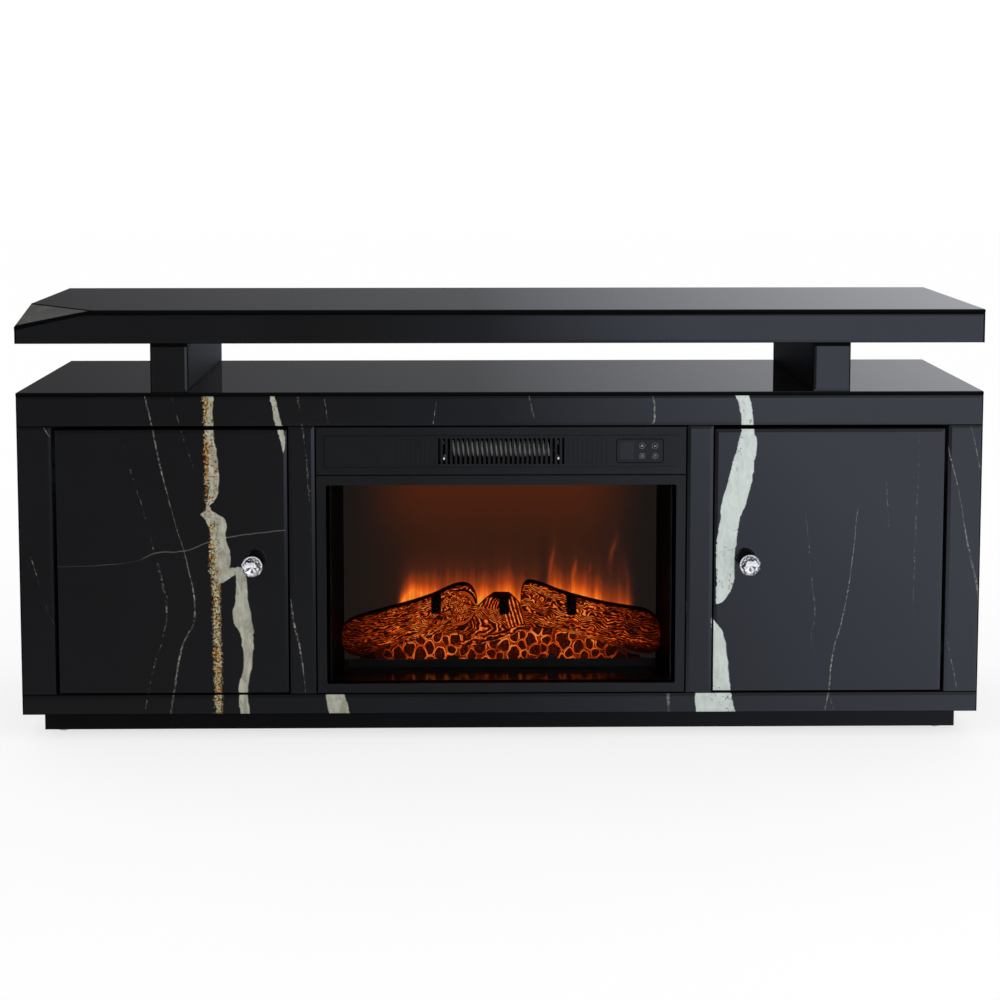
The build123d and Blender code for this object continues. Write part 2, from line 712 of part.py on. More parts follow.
def power_board():
    y0 = at(40)
    low = ceiling_z + 6
    pcb = block(-250, -130, y0, y0 + 80, low, low + 1.6)
    parts = [
        block(-240, -212, y0 + 8, y0 + 40, low + 1.6, low + 22),
        block(-200, -180, y0 + 10, y0 + 28, low + 1.6, low + 17),
        block(-172, -152, y0 + 10, y0 + 28, low + 1.6, low + 17),
        rod_z(-200, y0 + 60, low + 1.6, low + 26, 8),
        rod_z(-170, y0 + 60, low + 1.6, low + 18, 5),
        block(-245, -225, y0 + 56, y0 + 74, low + 1.6, low + 14),
    ]
    for p in parts:
        pcb += p
    for x in (-245, -135):
        for y in (y0 + 5, y0 + 75):
            pcb += rod_z(x, y, ceiling_z, low, 3)
    return {"circuit_boards": [pcb]}


def door_catches():
    """A magnetic catch behind the free edge of each door, on the side of the divider."""
    body = block(-opening_inner - 13, -opening_inner, at(20.4), at(36), 462, 486)
    return {"door_catches": pair(body)}


def hinge_screws():
    made = []
    for z in hinge_heights:
        for y in (at(52), at(70)):
            head = rod_x(-opening_outer + 3, -opening_outer + 4.4, y, z, 3.6)
            shank = rod_x(-opening_outer, -opening_outer + 3.2, y, z, 2.0)
            made.append(head + shank)
    return {"hinge_screws": made + [mirrored(m) for m in made]}


def main():
    nodes = {}
    for made in (
        upper_deck(), deck_supports(), carcass(), glides(), cladding(), rear_panels(), cupboard_shelves(),
        doors(), window_frame(), window_glass(), vent_panel(), control_module(), {"insert_shell": fire_shell()},
        mains_gland(), firebox(), log_set(), log_tray(), ember_lights(), flame_spinner(), heater(), power_board(),
        hinge_screws(), door_catches(),
    ):
        for name, solids in made.items():
            nodes.setdefault(name, []).extend(solids)
    os.makedirs("parts", exist_ok=True)
    for name, solids in nodes.items():
        export_step(group(solids), f"parts/{name}.step")
    print(len(nodes), "nodes")


main()
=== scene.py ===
import math
import bmesh
import bpy
import numpy as np
from mathutils import Matrix, Vector, noise


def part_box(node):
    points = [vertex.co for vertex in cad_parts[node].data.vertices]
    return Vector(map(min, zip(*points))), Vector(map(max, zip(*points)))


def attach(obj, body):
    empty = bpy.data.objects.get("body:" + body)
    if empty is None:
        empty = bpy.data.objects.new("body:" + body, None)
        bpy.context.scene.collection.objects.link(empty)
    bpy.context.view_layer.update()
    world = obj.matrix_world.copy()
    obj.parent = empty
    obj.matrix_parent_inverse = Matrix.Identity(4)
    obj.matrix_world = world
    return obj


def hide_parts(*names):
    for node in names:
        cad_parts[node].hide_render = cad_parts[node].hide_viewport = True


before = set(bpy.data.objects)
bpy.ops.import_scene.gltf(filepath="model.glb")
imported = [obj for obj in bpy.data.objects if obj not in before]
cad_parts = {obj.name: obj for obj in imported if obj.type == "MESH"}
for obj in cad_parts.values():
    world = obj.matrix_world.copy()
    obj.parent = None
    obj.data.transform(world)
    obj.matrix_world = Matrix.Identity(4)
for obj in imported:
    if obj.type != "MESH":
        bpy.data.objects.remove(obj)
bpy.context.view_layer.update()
print("frame loaded:", len(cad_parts), "nodes")

mm = 0.001
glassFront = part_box("fascia_glass")[0].y  # the plane of all the front glass


def behind(depth):
    # y of a place so many millimetres behind the front glass
    return glassFront + depth * mm


# camera
cameraLook = {
    "place": (-0.0416, -2.8684, 0.9585),  # x, distance in front of the glass, height
    "tilt": -0.0869,
    "turn": -0.0138,
    "lens": 67.27,
    "shift": -0.21,
}


def makeCamera(look):
    data = bpy.data.cameras.new("camera")
    data.lens = look["lens"]
    data.sensor_width = 36
    data.shift_y = look["shift"]
    data.clip_end = 60
    cam = bpy.data.objects.new("camera", data)
    x, away, z = look["place"]
    cam.location = (x, glassFront + away, z)
    cam.rotation_euler = (math.pi / 2 + look["tilt"], 0, look["turn"])
    bpy.context.collection.objects.link(cam)
    bpy.context.scene.camera = cam


makeCamera(cameraLook)
bpy.context.scene.view_settings.view_transform = "Standard"
print("camera set")


# small helpers for building node materials
class Nodes:
    # a material or world tree with short names for the nodes used here
    def __init__(self, owner):
        self.owner = owner
        owner.use_nodes = True
        self.tree = tree = owner.node_tree
        tree.nodes.clear()

    def add(self, kind, **values):
        node = self.tree.nodes.new("ShaderNode" + kind)
        for name, value in values.items():
            setattr(node, name, value)
        return node

    def put(self, socket, value):
        if isinstance(value, bpy.types.NodeSocket):
            self.tree.links.new(value, socket)
        elif value is not None:
            socket.default_value = value

    def sum(self, operation, a, b=None):
        node = self.add("Math", operation=operation)
        for socket, value in zip(node.inputs, (a, b)):
            self.put(socket, value)
        return node.outputs[0]

    def plus(self, a, b):
        return self.sum("ADD", a, b)

    def less(self, a, b):
        return self.sum("SUBTRACT", a, b)

    def times(self, a, b):
        return self.sum("MULTIPLY", a, b)

    def over(self, a, b):
        return self.sum("DIVIDE", a, b)

    def most(self, a, b):
        return self.sum("MAXIMUM", a, b)

    def least(self, a, b):
        return self.sum("MINIMUM", a, b)

    def size(self, a):
        return self.sum("ABSOLUTE", a)

    def coords(self, stretch=(1, 1, 1)):
        node = self.add("Mapping")
        self.put(node.inputs["Vector"], self.add("TexCoord").outputs["Object"])
        node.inputs["Scale"].default_value = stretch
        return node.outputs[0]

    def axes(self, vector=None):
        node = self.add("SeparateXYZ")
        self.put(node.inputs[0], vector or self.add("TexCoord").outputs["Object"])
        return node.outputs

    def noise(self, scale, detail=3, rough=0.5, vector=None, twist=0.0):
        node = self.add("TexNoise")
        self.put(node.inputs["Vector"], vector or self.coords())
        values = {"Scale": scale, "Detail": detail, "Roughness": rough, "Distortion": twist}
        for name, value in values.items():
            self.put(node.inputs[name], value)
        return node.outputs["Fac"]

    def cells(self, scale, vector=None, feature="DISTANCE_TO_EDGE"):
        node = self.add("TexVoronoi", feature=feature)
        self.put(node.inputs["Vector"], vector or self.coords())
        self.put(node.inputs["Scale"], scale)
        return node.outputs["Distance"]

    def span(self, value, low, high, toLow=0.0, toHigh=1.0, smooth=False):
        node = self.add("MapRange", interpolation_type="SMOOTHSTEP" if smooth else "LINEAR")
        values = {"Value": value, "From Min": low, "From Max": high, "To Min": toLow, "To Max": toHigh}
        for name, v in values.items():
            self.put(node.inputs[name], v)
        return node.outputs[0]

    def ramp(self, value, stops):
        node = self.add("ValToRGB")
        band = node.color_ramp
        while len(band.elements) < len(stops):
            band.elements.new(0.5)
        for element, (place, colour) in zip(band.elements, stops):
            element.position = place
            element.color = (*colour, 1)
        self.put(node.inputs[0], value)
        return node.outputs["Color"]

    def blend(self, share, a, b):
        node = self.add("Mix", data_type="RGBA")
        self.put(node.inputs["Factor"], share)
        for socket, value in ((node.inputs[6], a), (node.inputs[7], b)):
            self.put(socket, (*value, 1) if isinstance(value, tuple) else value)
        return node.outputs[2]

    def tint(self, value, dark, light, low=0.3, high=0.7):
        return self.blend(self.span(value, low, high), linear(*dark), linear(*light))

    def curve(self, value, points):
        # a smooth hand-drawn line through (0 to 1, 0 to 1) points
        node = self.add("FloatCurve")
        line = node.mapping.curves[0]
        while len(line.points) < len(points):
            line.points.new(0.5, 0.5)
        for point, (x, y) in zip(line.points, points):
            point.location = (x, y)
        node.mapping.update()
        self.put(node.inputs["Value"], value)
        return node.outputs[0]

    def bump(self, height, depth, strength=1.0):
        node = self.add("Bump")
        node.inputs["Strength"].default_value = strength
        node.inputs["Distance"].default_value = depth
        self.put(node.inputs["Height"], height)
        return node.outputs[0]

    def mixed(self, share, a, b):
        node = self.add("MixShader")
        for socket, value in zip(node.inputs, (share, a.outputs[0], b.outputs[0])):
            self.put(socket, value)
        return node

    def finish(self, shader, kind="OutputMaterial"):
        self.put(self.add(kind).inputs["Surface"], shader.outputs[0])
        return self.owner


def startMaterial(name):
    return Nodes(bpy.data.materials.new(name))


def principled(n, colour, roughness, gloss=None, **sockets):
    node = n.add("BsdfPrincipled")
    n.put(node.inputs["Specular IOR Level"], gloss)
    n.put(node.inputs["Base Color"], (*colour, 1) if isinstance(colour, tuple) else colour)
    n.put(node.inputs["Roughness"], roughness)
    for name, value in sockets.items():
        n.put(node.inputs[name], value)
    return node


def linear(*rgb):
    # a colour as a paint chart gives it, 0 to 255, as the shader wants it
    return tuple(((c / 255 + 0.055) / 1.055) ** 2.4 if c > 10 else c / 255 / 12.92 for c in rgb)


def wear(material, *names):
    for name in names:
        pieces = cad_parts[name]
        for piece in pieces if isinstance(pieces, list) else [pieces]:
            piece.data.materials.clear()
            piece.data.materials.append(material)


# black glass with the printed marble
marbleLook = {
    "ground": (10, 10, 11),
    "warmWhite": ((172, 172, 158), (136, 134, 118)),  # the veins on the left
    "coolWhite": ((200, 208, 202), (184, 192, 188)),  # and on the right
    "rust": ((16, 12, 8), (136, 78, 18), (184, 158, 98)),
    "sand": ((26, 24, 19), (142, 126, 72), (188, 184, 166)),
    "hair": (150, 150, 142),
    "speck": (118, 114, 106),
    "faint": (84, 82, 76),
    "ragged": 3.2,  # how far the edges of the veins wander, in millimetres
    # dark lines of the panes: ground edges, and at 545, under the deck plate, partly the ground edge and
    # partly a painted shadow line: (axis, place, half width), in millimetres
    "seamsAndShadowLines": [("z", 497, 0.8), ("z", 72.5, 0.9), ("z", 545, 1.4), ("z", 41, 0.7), ("x", 750, 1.9)],
}
# each vein is a row of (height, place across, half width), from the top down, in millimetres
whiteVeins = {
    "leftMain": [
        (550, -449, 4), (492, -451, 5), (440, -447, 7.5), (405, -446, 7.5), (378, -452, 5), (370, -456, 3),
        (362, -455, 9), (350, -444, 15), (318, -438, 10), (290, -434, 12), (272, -437, 12), (258, -443, 3),
        (252, -445, 0),
    ],
    "leftFall": [
        (276, -410, 0), (270, -407, 7), (247, -405, 9), (222, -405, 9.5), (195, -405, 14), (165, -397, 10),
        (122, -397, 6.5), (79, -404, 7), (38, -401, 7),
    ],
    "right": [
        (550, 371, 11), (498, 383, 9.5), (470, 383, 14), (440, 377, 17), (405, 371, 18.5), (377, 363, 19),
        (350, 357, 15.5), (300, 351, 15), (250, 350, 13), (226, 345, 8), (214, 338, 0),
    ],
    "rightLow": [(192, 330, 0), (183, 334, 4), (164, 340, 9), (120, 344, 12), (76, 346, 14)],
    "railRight": [(73, 332, 28), (41, 338, 31)],
    "railLeft": [(73, -261, 15), (41, -254, 16.5)],
    "top": [(550, -354, 2.5), (505, -347, 5), (490, -342, 5), (470, -338, 3), (455, -337, 0)],
}
goldVeins = {
    "left": [
        (550, -457, 5), (470, -456, 5), (420, -456, 5), (385, -458, 2), (350, -452, 4), (318, -447, 6),
        (280, -447, 8), (240, -445, 6.5), (150, -444, 6.5), (35, -443, 6),
    ],
}
hairVeins = {  # fine broken lines
    "leftLong": [
        (550, -552, 1.2), (498, -541, 1.4), (432, -528, 1.2), (353, -509, 0.7), (275, -488, 0.9),
        (207, -478, 1.4),
        (193, -479, 2.0), (169, -490, 1.5), (141, -501, 1.5), (76, -513, 1.6), (38, -519, 1.4),
    ],
    "leftCorner": [(497, -709, 0), (493, -706, 0.9), (480, -698, 0.4)],
    "postLow": [(225, -329, 0.4), (176, -322, 1.6), (140, -314, 1.3), (76, -307, 0.6)],
    "shortA": [(540, -274, 0.7), (501, -268, 0.6)],
    "shortB": [(535, -101, 0), (528, -102, 0.6), (500, -106, 0.5)],
    "shortC": [(546, 43, 0.9), (520, 48, 1.2), (508, 51, 0)],
    "hook": [(546, 234, 1.2), (515, 238, 1.5), (500, 234, 1.2)],
    "railThin": [(73, 262, 2.5), (41, 264, 2.5)],
    "fallA": [
        (370, 557, 0), (360, 556, 0.9), (300, 551, 0.7), (194, 536, 0.9), (128, 520, 1.2), (73, 515, 1.1),
        (40, 508, 0.8),
    ],
    "rightStile": [
        (470, 695, 0), (460, 697, 1.0), (384, 716, 0.8), (323, 727, 1.2), (240, 746, 1.8), (213, 750, 1.0),
    ],
    "rightCorner": [(495, 731, 0.4), (431, 746, 0.8), (425, 747, 0)],
}
faintVeins = {  # no more than rows of specks
    "leftBranch": [(550, -511, 0.5), (474, -491, 0.7), (402, -466, 0.7), (395, -464, 0)],
    "leftSpecks": [
        (470, -584, 0), (450, -580, 0.8), (365, -556, 0.5), (300, -540, 1.2), (250, -528, 2.2),
        (215, -522, 1.6), (160, -530, 0.8), (120, -543, 1.2), (50, -557, 0.9),
    ],
    "leftStile": [(335, -748, 0), (325, -745, 0.7), (279, -728, 0.7), (211, -709, 0.6), (183, -695, 0)],
    "post": [
        (550, -316, 1.6), (500, -309, 1.2), (440, -302, 0.7), (400, -299, 1.6), (350, -297, 0.8),
        (330, -297, 0),
    ],
    "fallB": [
        (362, 474, 0), (350, 476, 0.5), (244, 487, 0.8), (191, 492, 1.2), (168, 487, 0.6), (131, 493, 0.6),
        (73, 515, 0.5), (45, 524, 0.4),
    ],
    "brown": [(485, 650, 0), (470, 651, 0.5), (334, 648, 0.9), (202, 646, 0.5), (190, 646, 0)],
    "faint": [(408, 600, 0), (400, 601, 0.5), (296, 608, 0)],
    "rightLow": [(160, 699, 0.4), (106, 712, 0.8), (74, 718, 0.4)],
}
levelVeins = {  # these lie across: (place across, height, half width) from left to right
    "left": [
        (-692, 277, 0.6), (-610, 280, 0.7), (-575, 284, 0.2), (-553, 292, 0.7), (-530, 300, 1.0),
        (-505, 300, 0.9), (-456, 315, 1.0), (-429, 322, 1.0), (-390, 328, 0.9), (-336, 334, 0.9),
    ],
    "elbow": [(-441, 254, 2), (-432, 260, 8), (-420, 267, 7), (-410, 270, 5), (-404, 270, 1)],
}


def veinDistance(n, along, across, vein, ragged):
    # millimetres from the edge of a vein, negative inside it
    first, last = min(p[0] for p in vein), max(p[0] for p in vein)
    places = [p[1] for p in vein]
    left, right = min(places) - 1.0, max(places) + 1.0
    widest = max(p[2] for p in vein) + 0.5
    rows = sorted(vein)
    part = n.span(along, first, last)
    centre = n.curve(part, [((p[0] - first) / (last - first), (p[1] - left) / (right - left)) for p in rows])
    width = n.curve(part, [((p[0] - first) / (last - first), p[2] / widest) for p in rows])
    centre = n.span(centre, 0.0, 1.0, left, right)
    off = n.size(n.less(n.plus(across, ragged), centre))
    edge = n.less(off, n.times(width, widest))
    middle, reach = (first + last) / 2, (last - first) / 2
    past = n.less(n.size(n.less(along, middle)), reach)
    return n.most(edge, past)


def nearest(n, distances):
    result = distances[0]
    for other in distances[1:]:
        result = n.least(result, other)
    return result


def darkLines(n, lines):
    # 1 on the dark lines of the panes, 0 elsewhere: ground edges, and under a plate above a painted shadow
    # line as well: (axis, place, half width), in millimetres
    across, _, along = millimetres(n)
    total = None
    for axis, place, half in lines:
        value = n.size(across) if axis == "x" else along
        off = n.size(n.less(value, place))
        line = n.span(off, half + 0.25, half - 0.25, 0.0, 1.0)
        total = line if total is None else n.most(total, line)
    return total


def millimetres(n):
    return [n.over(value, mm) for value in n.axes()]


def veinedGlass(look):
    n = startMaterial("veinedBlackGlass")
    across, _, along = millimetres(n)
    coarse = n.less(n.noise(74, 4, 0.62), 0.5)
    fine = n.less(n.noise(420, 2, 0.6), 0.5)
    wander = n.times(n.plus(coarse, n.times(fine, 0.6)), 2 * look["ragged"])
    tremble = n.times(coarse, 3.4)
    white = nearest(n, [veinDistance(n, along, across, v, wander) for v in whiteVeins.values()])
    white = n.least(white, veinDistance(n, across, along, levelVeins["elbow"], wander))
    gold = nearest(n, [veinDistance(n, along, across, v, wander) for v in goldVeins.values()])
    hair = nearest(n, [veinDistance(n, along, across, v, tremble) for v in hairVeins.values()])
    faint = nearest(n, [veinDistance(n, along, across, v, tremble) for v in faintVeins.values()])
    level = veinDistance(n, across, along, levelVeins["left"], tremble)

    whiteShare = n.span(white, 0.7, -0.7, 0.0, 1.0, smooth=True)
    crumbs = n.noise(330, 4, 0.75)
    goldEdge = n.plus(gold, n.times(n.less(crumbs, 0.46), 22.0))
    goldShare = n.span(goldEdge, 1.0, -1.0, 0.0, 1.0, smooth=True)
    dashes = n.times(
        n.span(n.noise(260, 3, 0.8), 0.44, 0.58, 0.04, 1.0),
        n.span(n.noise(34, 2, 0.5), 0.38, 0.62, 0.30, 1.0),
    )
    hairShare = n.times(n.span(hair, 0.28, -0.60, 0.0, 0.92, smooth=True), dashes)
    specks = n.span(n.noise(210, 3, 0.8), 0.50, 0.60, 0.0, 0.9)
    dots = n.times(specks, n.span(n.noise(26, 2, 0.5), 0.44, 0.58))
    faintShare = n.times(n.span(faint, 0.40, -0.50, 0.0, 0.95, smooth=True), dots)
    levelShare = n.span(level, 0.30, -0.70, 0.0, 0.9, smooth=True)
    levelShare = n.times(levelShare, n.span(across, -640.0, -560.0, 0.35, 1.0))

    rightSide = n.span(across, -5.0, 5.0)
    streaks = n.noise(70, 5, 0.65, n.coords((1.6, 1, 0.6)), 0.6)
    warm = n.blend(n.span(streaks, 0.40, 0.64), *(linear(*c) for c in look["warmWhite"]))
    cool = n.blend(n.span(streaks, 0.40, 0.64), *(linear(*c) for c in look["coolWhite"]))
    whiteColour = n.blend(rightSide, warm, cool)
    pits = n.times(n.span(n.noise(260, 4, 0.75), 0.585, 0.62), n.span(n.noise(24, 2, 0.5), 0.50, 0.58))
    whiteColour = n.blend(pits, whiteColour, linear(52, 50, 44))
    grains = n.noise(340, 4, 0.8)
    rust, sand = (
        n.ramp(grains, list(zip((0.43, 0.50, 0.58), (linear(*c) for c in look[name]))))
        for name in ("rust", "sand")
    )
    goldColour = n.blend(n.span(n.noise(60, 3, 0.6), 0.46, 0.58), sand, rust)
    stain = n.span(n.less(across, n.times(coarse, 50.0)), -434.0, -446.0, 0.0, 1.0, smooth=True)
    stain = n.times(stain, n.span(n.noise(110, 3, 0.7), 0.47, 0.55))
    whiteColour = n.blend(n.times(stain, n.span(across, -430.0, -436.0)), whiteColour, goldColour)
    cloud = n.noise(5.5, 4, 0.55)
    colour = n.tint(cloud, look["ground"], (14, 14, 16))
    colour = n.blend(levelShare, colour, linear(*look["faint"]))
    colour = n.blend(faintShare, colour, linear(*look["speck"]))
    colour = n.blend(hairShare, colour, linear(*look["hair"]))
    colour = n.blend(goldShare, colour, goldColour)
    colour = n.blend(whiteShare, colour, whiteColour)
    # the dark lines are drawn near black: ground edges, and at 545 a painted shadow line under the deck plate
    # as well
    seamsAndShadowLines = darkLines(n, look["seamsAndShadowLines"])
    colour = n.blend(seamsAndShadowLines, colour, linear(3, 3, 4))
    smear = n.span(n.noise(9, 3, 0.6), 0.3, 0.7, 0.035, 0.075)
    rough = n.most(smear, n.times(seamsAndShadowLines, 0.5))
    return n.finish(principled(n, colour, rough, n.span(seamsAndShadowLines, 0.0, 1.0, 0.5, 0.02), IOR=1.5))


def plainGlass(name, ground, low, high, lines=(), matt=None):
    # matt names the axis whose end faces are ground dull instead of polished
    n = startMaterial(name)
    cloud = n.noise(7, 4, 0.55)
    colour = n.tint(cloud, ground, (c + 4 for c in ground))
    rough = n.span(n.noise(11, 3, 0.6), 0.3, 0.7, low, high)
    edges = dull = darkLines(n, lines) if lines else None
    faces = n.axes(n.add("NewGeometry").outputs["Normal"])
    if matt == "edges":
        sides = n.span(n.size(faces[2]), 0.75, 0.6)
        colour = n.blend(sides, colour, linear(6, 9, 9))
        dull = sides if dull is None else n.most(dull, sides)
    if matt == "sides":
        sides = n.span(n.size(faces[0]), 0.2, 0.4)
        colour = n.blend(sides, colour, linear(33, 34, 34))
        dull = n.most(dull, sides)
    # the dark lines are drawn greenish black: ground edges, and under a plate above a painted shadow line as
    # well
    if lines:
        colour = n.blend(edges, colour, linear(4, 6, 6))
    gloss = None
    if dull is not None:
        rough, gloss = n.most(rough, n.times(dull, 0.5)), n.span(dull, 0.0, 1.0, 0.5, 0.03)
    return n.finish(principled(n, colour, rough, gloss, IOR=1.5))


def facetGlass():
    # the cut corner: a greyer stone with pale hairlines and dark ground edges
    n = startMaterial("greyMarbleGlass")
    across, deep, along = millimetres(n)
    cloud = n.noise(26, 6, 0.6, n.coords((1, 1, 2)), 0.8)
    shades = [(0.3, linear(70, 71, 68)), (0.55, linear(78, 79, 76)), (0.75, linear(86, 87, 82))]
    colour = n.ramp(cloud, shades)
    line = n.size(n.less(n.noise(8, 3, 0.55, None, 0.4), 0.5))
    colour = n.blend(n.span(line, 0.006, 0.0, 0.0, 0.4), colour, linear(122, 120, 108))
    front = n.less(deep, glassFront / mm)
    taper = n.span(across, -750.0, -626.0, 9.5, 0.5)
    lip = n.most(n.span(n.less(front, taper), 0.5, -0.5), n.span(along, 676.6, 677.0))
    colour = n.blend(lip, colour, linear(5, 7, 7))
    rough, gloss = n.span(lip, 0.0, 1.0, 0.09, 0.5), n.span(lip, 0.0, 1.0, 0.4, 0.03)
    return n.finish(principled(n, colour, rough, gloss, IOR=1.5))


marbleGlass = veinedGlass(marbleLook)
wear(marbleGlass, "fascia_glass", "base_rail_glass", "stile_glass", "door_left_glass", "door_right_glass")
wear(plainGlass("polishedBlackGlass", (9, 9, 10), 0.012, 0.03, matt="edges"), "slab_top_glass", "deck_glass")
# under a plate above, the lines at 673 on the slab edge, 626 on the supports and 545 on the sides are partly
# ground edge and partly painted shadow; the other lines are ground edges
slabLines = [("z", 673, 2.8), ("z", 626, 0.8), ("x", 750, 2.8)]
supportLines = [("z", 626, 5.5), ("x", 542, 1.8), ("x", 484, 1.4)]
sideLines = [("z", 545, 1.4), ("z", 41, 0.7)]
wear(plainGlass("slabEdgeGlass", (10, 10, 11), 0.035, 0.07, slabLines), "slab_edge_glass")
wear(plainGlass("supportGlass", (10, 10, 11), 0.035, 0.07, supportLines, "sides"), "support_glass")
wear(plainGlass("cabinetSideGlass", (10, 10, 11), 0.035, 0.07, sideLines), "side_glass")
wear(facetGlass(), "slab_corner_glass")
print("glass veined")


# board, steel, plastic and the other plain finishes
def coat(name, cloud, dark, light, grain, low, high, gloss=None, bump=None):
    # one noise tints the coat from dark to light, another turns it from shiny to dull
    n = startMaterial(name)
    colour = n.tint(n.noise(*cloud), dark, light)
    rough = n.span(n.noise(*grain), 0.3, 0.7, low, high)
    normal = n.bump(n.noise(*bump[0]), *bump[1:]) if bump else None
    return n.finish(principled(n, colour, rough, gloss, Normal=normal))


def melamineBoard():
    n = startMaterial("blackMelamine")
    grain = n.noise(60, 5, 0.65, n.coords((0.15, 1, 1)))
    colour = n.tint(grain, (20, 20, 21), (31, 31, 32), 0.35, 0.65)
    pores = n.noise(900, 2, 0.5, n.coords((0.2, 1, 1)))
    rough = n.span(grain, 0.3, 0.7, 0.42, 0.56)
    return n.finish(principled(n, colour, rough, Normal=n.bump(pores, 0.0002, 0.35)))


def fireLining():
    # matt black inside the fire, with a polished hearth in front of the embers
    n = startMaterial("fireLining")
    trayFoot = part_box("log_tray")[0].z
    hearth = n.span(n.axes()[2], trayFoot + 0.4 * mm, trayFoot + 1.2 * mm, 1.0, 0.0)
    soot = n.noise(30, 5, 0.6)
    colour = n.tint(soot, (9, 9, 9), (16, 15, 14))
    rough = n.span(hearth, 0.0, 1.0, 0.6, 0.16)
    return n.finish(principled(n, colour, rough, gloss=n.span(hearth, 0.0, 1.0, 0.1, 0.5)))


def mouldedPlastic(name, dark, light, low, high, shadow=None, grainScale=1700):
    # shadow: the dark line round a set-in panel, (middle across, middle height, half width, half height)
    n = startMaterial(name)
    leather = n.cells(grainScale)
    colour = n.tint(n.noise(30, 4), dark, light)
    rough = n.span(n.noise(45, 3), 0.3, 0.7, low, high)
    if shadow:
        across, _, along = millimetres(n)
        sides = ((across, shadow[0], shadow[2]), (along, shadow[1], shadow[3]))
        offs = [n.less(n.size(n.less(value, middle)), half) for value, middle, half in sides]
        edge = n.size(n.most(*offs))
        colour = n.blend(n.span(edge, 1.3, 0.5), colour, linear(3, 3, 3))
    return n.finish(principled(n, colour, rough, Normal=n.bump(leather, 0.00008, 0.3), gloss=0.42))


def metal(name, colour, rough):
    n = startMaterial(name)
    lines = n.noise(300, 4, 0.6, n.coords())
    shade = n.tint(lines, colour, (min(255, c + 22) for c in colour), 0.25, 0.75)
    polish = n.span(lines, 0.3, 0.7, rough - 0.06, rough + 0.06)
    return n.finish(principled(n, shade, polish, Metallic=1.0, Normal=n.bump(lines, 0.00003, 0.3)))


def circuitBoard():
    n = startMaterial("circuitBoard")
    tracks = n.span(n.cells(330, None, "F1"), 0.3, 0.34)
    colour = n.blend(tracks, linear(24, 84, 48), linear(38, 112, 66))
    pads = n.span(n.cells(260, None, "F1"), 0.16, 0.12)
    colour = n.blend(pads, colour, linear(190, 180, 140))
    return n.finish(principled(n, colour, n.span(tracks, 0, 1, 0.3, 0.42)))


powderCoat = coat(
    "powderCoatedSteel", (24, 4), (11, 11, 12), (16, 16, 17), (1300, 2, 0.5), 0.4, 0.5,
    gloss=0.4, bump=((1300, 2, 0.5), 0.00012, 0.35),
)
plinthPaint = coat(
    "plinthPaint", (16, 4, 0.6), (9, 9, 9), (13, 13, 14), (16, 4, 0.6), 0.3, 0.4,
    gloss=0.17, bump=((500, 2), 0.0001, 0.2),
)
zinc = metal("zincPlate", (150, 150, 148), 0.3)
darkMoulding = mouldedPlastic("darkMoulding", (9, 9, 11), (13, 13, 15), 0.36, 0.46)
wear(
    melamineBoard(), "slab_core", "support_blocks", "deck_boards", "side_panels", "divider_boards",
    "front_posts", "base_board", "shelves", "back_panels", "door_left_board", "door_right_board",
)
wear(plinthPaint, "plinth_boards")
wear(powderCoat, "window_frame", "insert_shell", "log_tray", "rotor_bracket", "fan_housing")
wear(fireLining(), "firebox_liner")
wear(darkMoulding, "mains_gland", "door_catches")
ventRecess, controlRecess = (0, 457.2, 275, 24.7), (215.5, 457.5, 35.2, 17.2)
wear(mouldedPlastic("ventMoulding", (9, 9, 11), (13, 13, 15), 0.36, 0.46, ventRecess), "vent_panel")
wear(mouldedPlastic("controlPlastic", (9, 9, 11), (13, 13, 15), 0.26, 0.36, controlRecess), "control_plate")
buttonPlastic = mouldedPlastic("buttonPlastic", (11, 11, 13), (16, 16, 18), 0.3, 0.4)
wear(buttonPlastic, "button_up", "button_down", "button_timer", "button_power")
wear(coat("smokedLens", (60, 3), (4, 4, 5), (7, 7, 8), (90, 2), 0.1, 0.16), "display_lens")
wear(
    zinc, "hinge_arms", "hinge_pins", "hinge_screws", "panel_screws", "shelf_pins",
    "door_left_hinge_cups", "door_right_hinge_cups",
)
wear(metal("motorSteel", (112, 112, 114), 0.35), "fan_motor", "rotor_motor")
wear(metal("brightFlags", (190, 190, 190), 0.2), "fan_rotor", "flame_rotor")
wear(metal("darkChrome", (46, 47, 50), 0.14), "door_left_knob_base", "door_right_knob_base")
wear(mouldedPlastic("glideNylon", (232, 232, 229), (242, 242, 240), 0.28, 0.36, grainScale=900), "glide_feet")
wear(circuitBoard(), "circuit_boards", "led_strips")
print("finishes set")


# the pane in front of the fire
def paneGlass():
    n = startMaterial("firePane")
    clear = n.add("BsdfTransparent")
    clear.inputs["Color"].default_value = (0.93, 0.93, 0.93, 1)
    mirror = n.add("BsdfGlossy")
    mirror.inputs["Color"].default_value = (1, 1, 1, 1)
    mirror.inputs["Roughness"].default_value = 0.03
    fresnel = n.add("Fresnel")
    fresnel.inputs["IOR"].default_value = 1.3
    slant = n.span(fresnel.outputs[0], 0.021, 1.0, 0.0, 0.9)  # it mirrors only at a slant
    return n.finish(n.mixed(slant, clear, mirror))


wear(paneGlass(), "window_glass")


# flames on the screen behind the logs
flameLook = {
    "floor": 0.150,  # the flames rise from this height
    "full": 71.0,  # and fade from so many millimetres above it
    "ember": (54, 26, 15),
    "smoke": (30, 24, 21),
    "hot": ((64, 22, 6), (158, 56, 8), (230, 92, 14), (252, 116, 26), (255, 154, 52)),
}
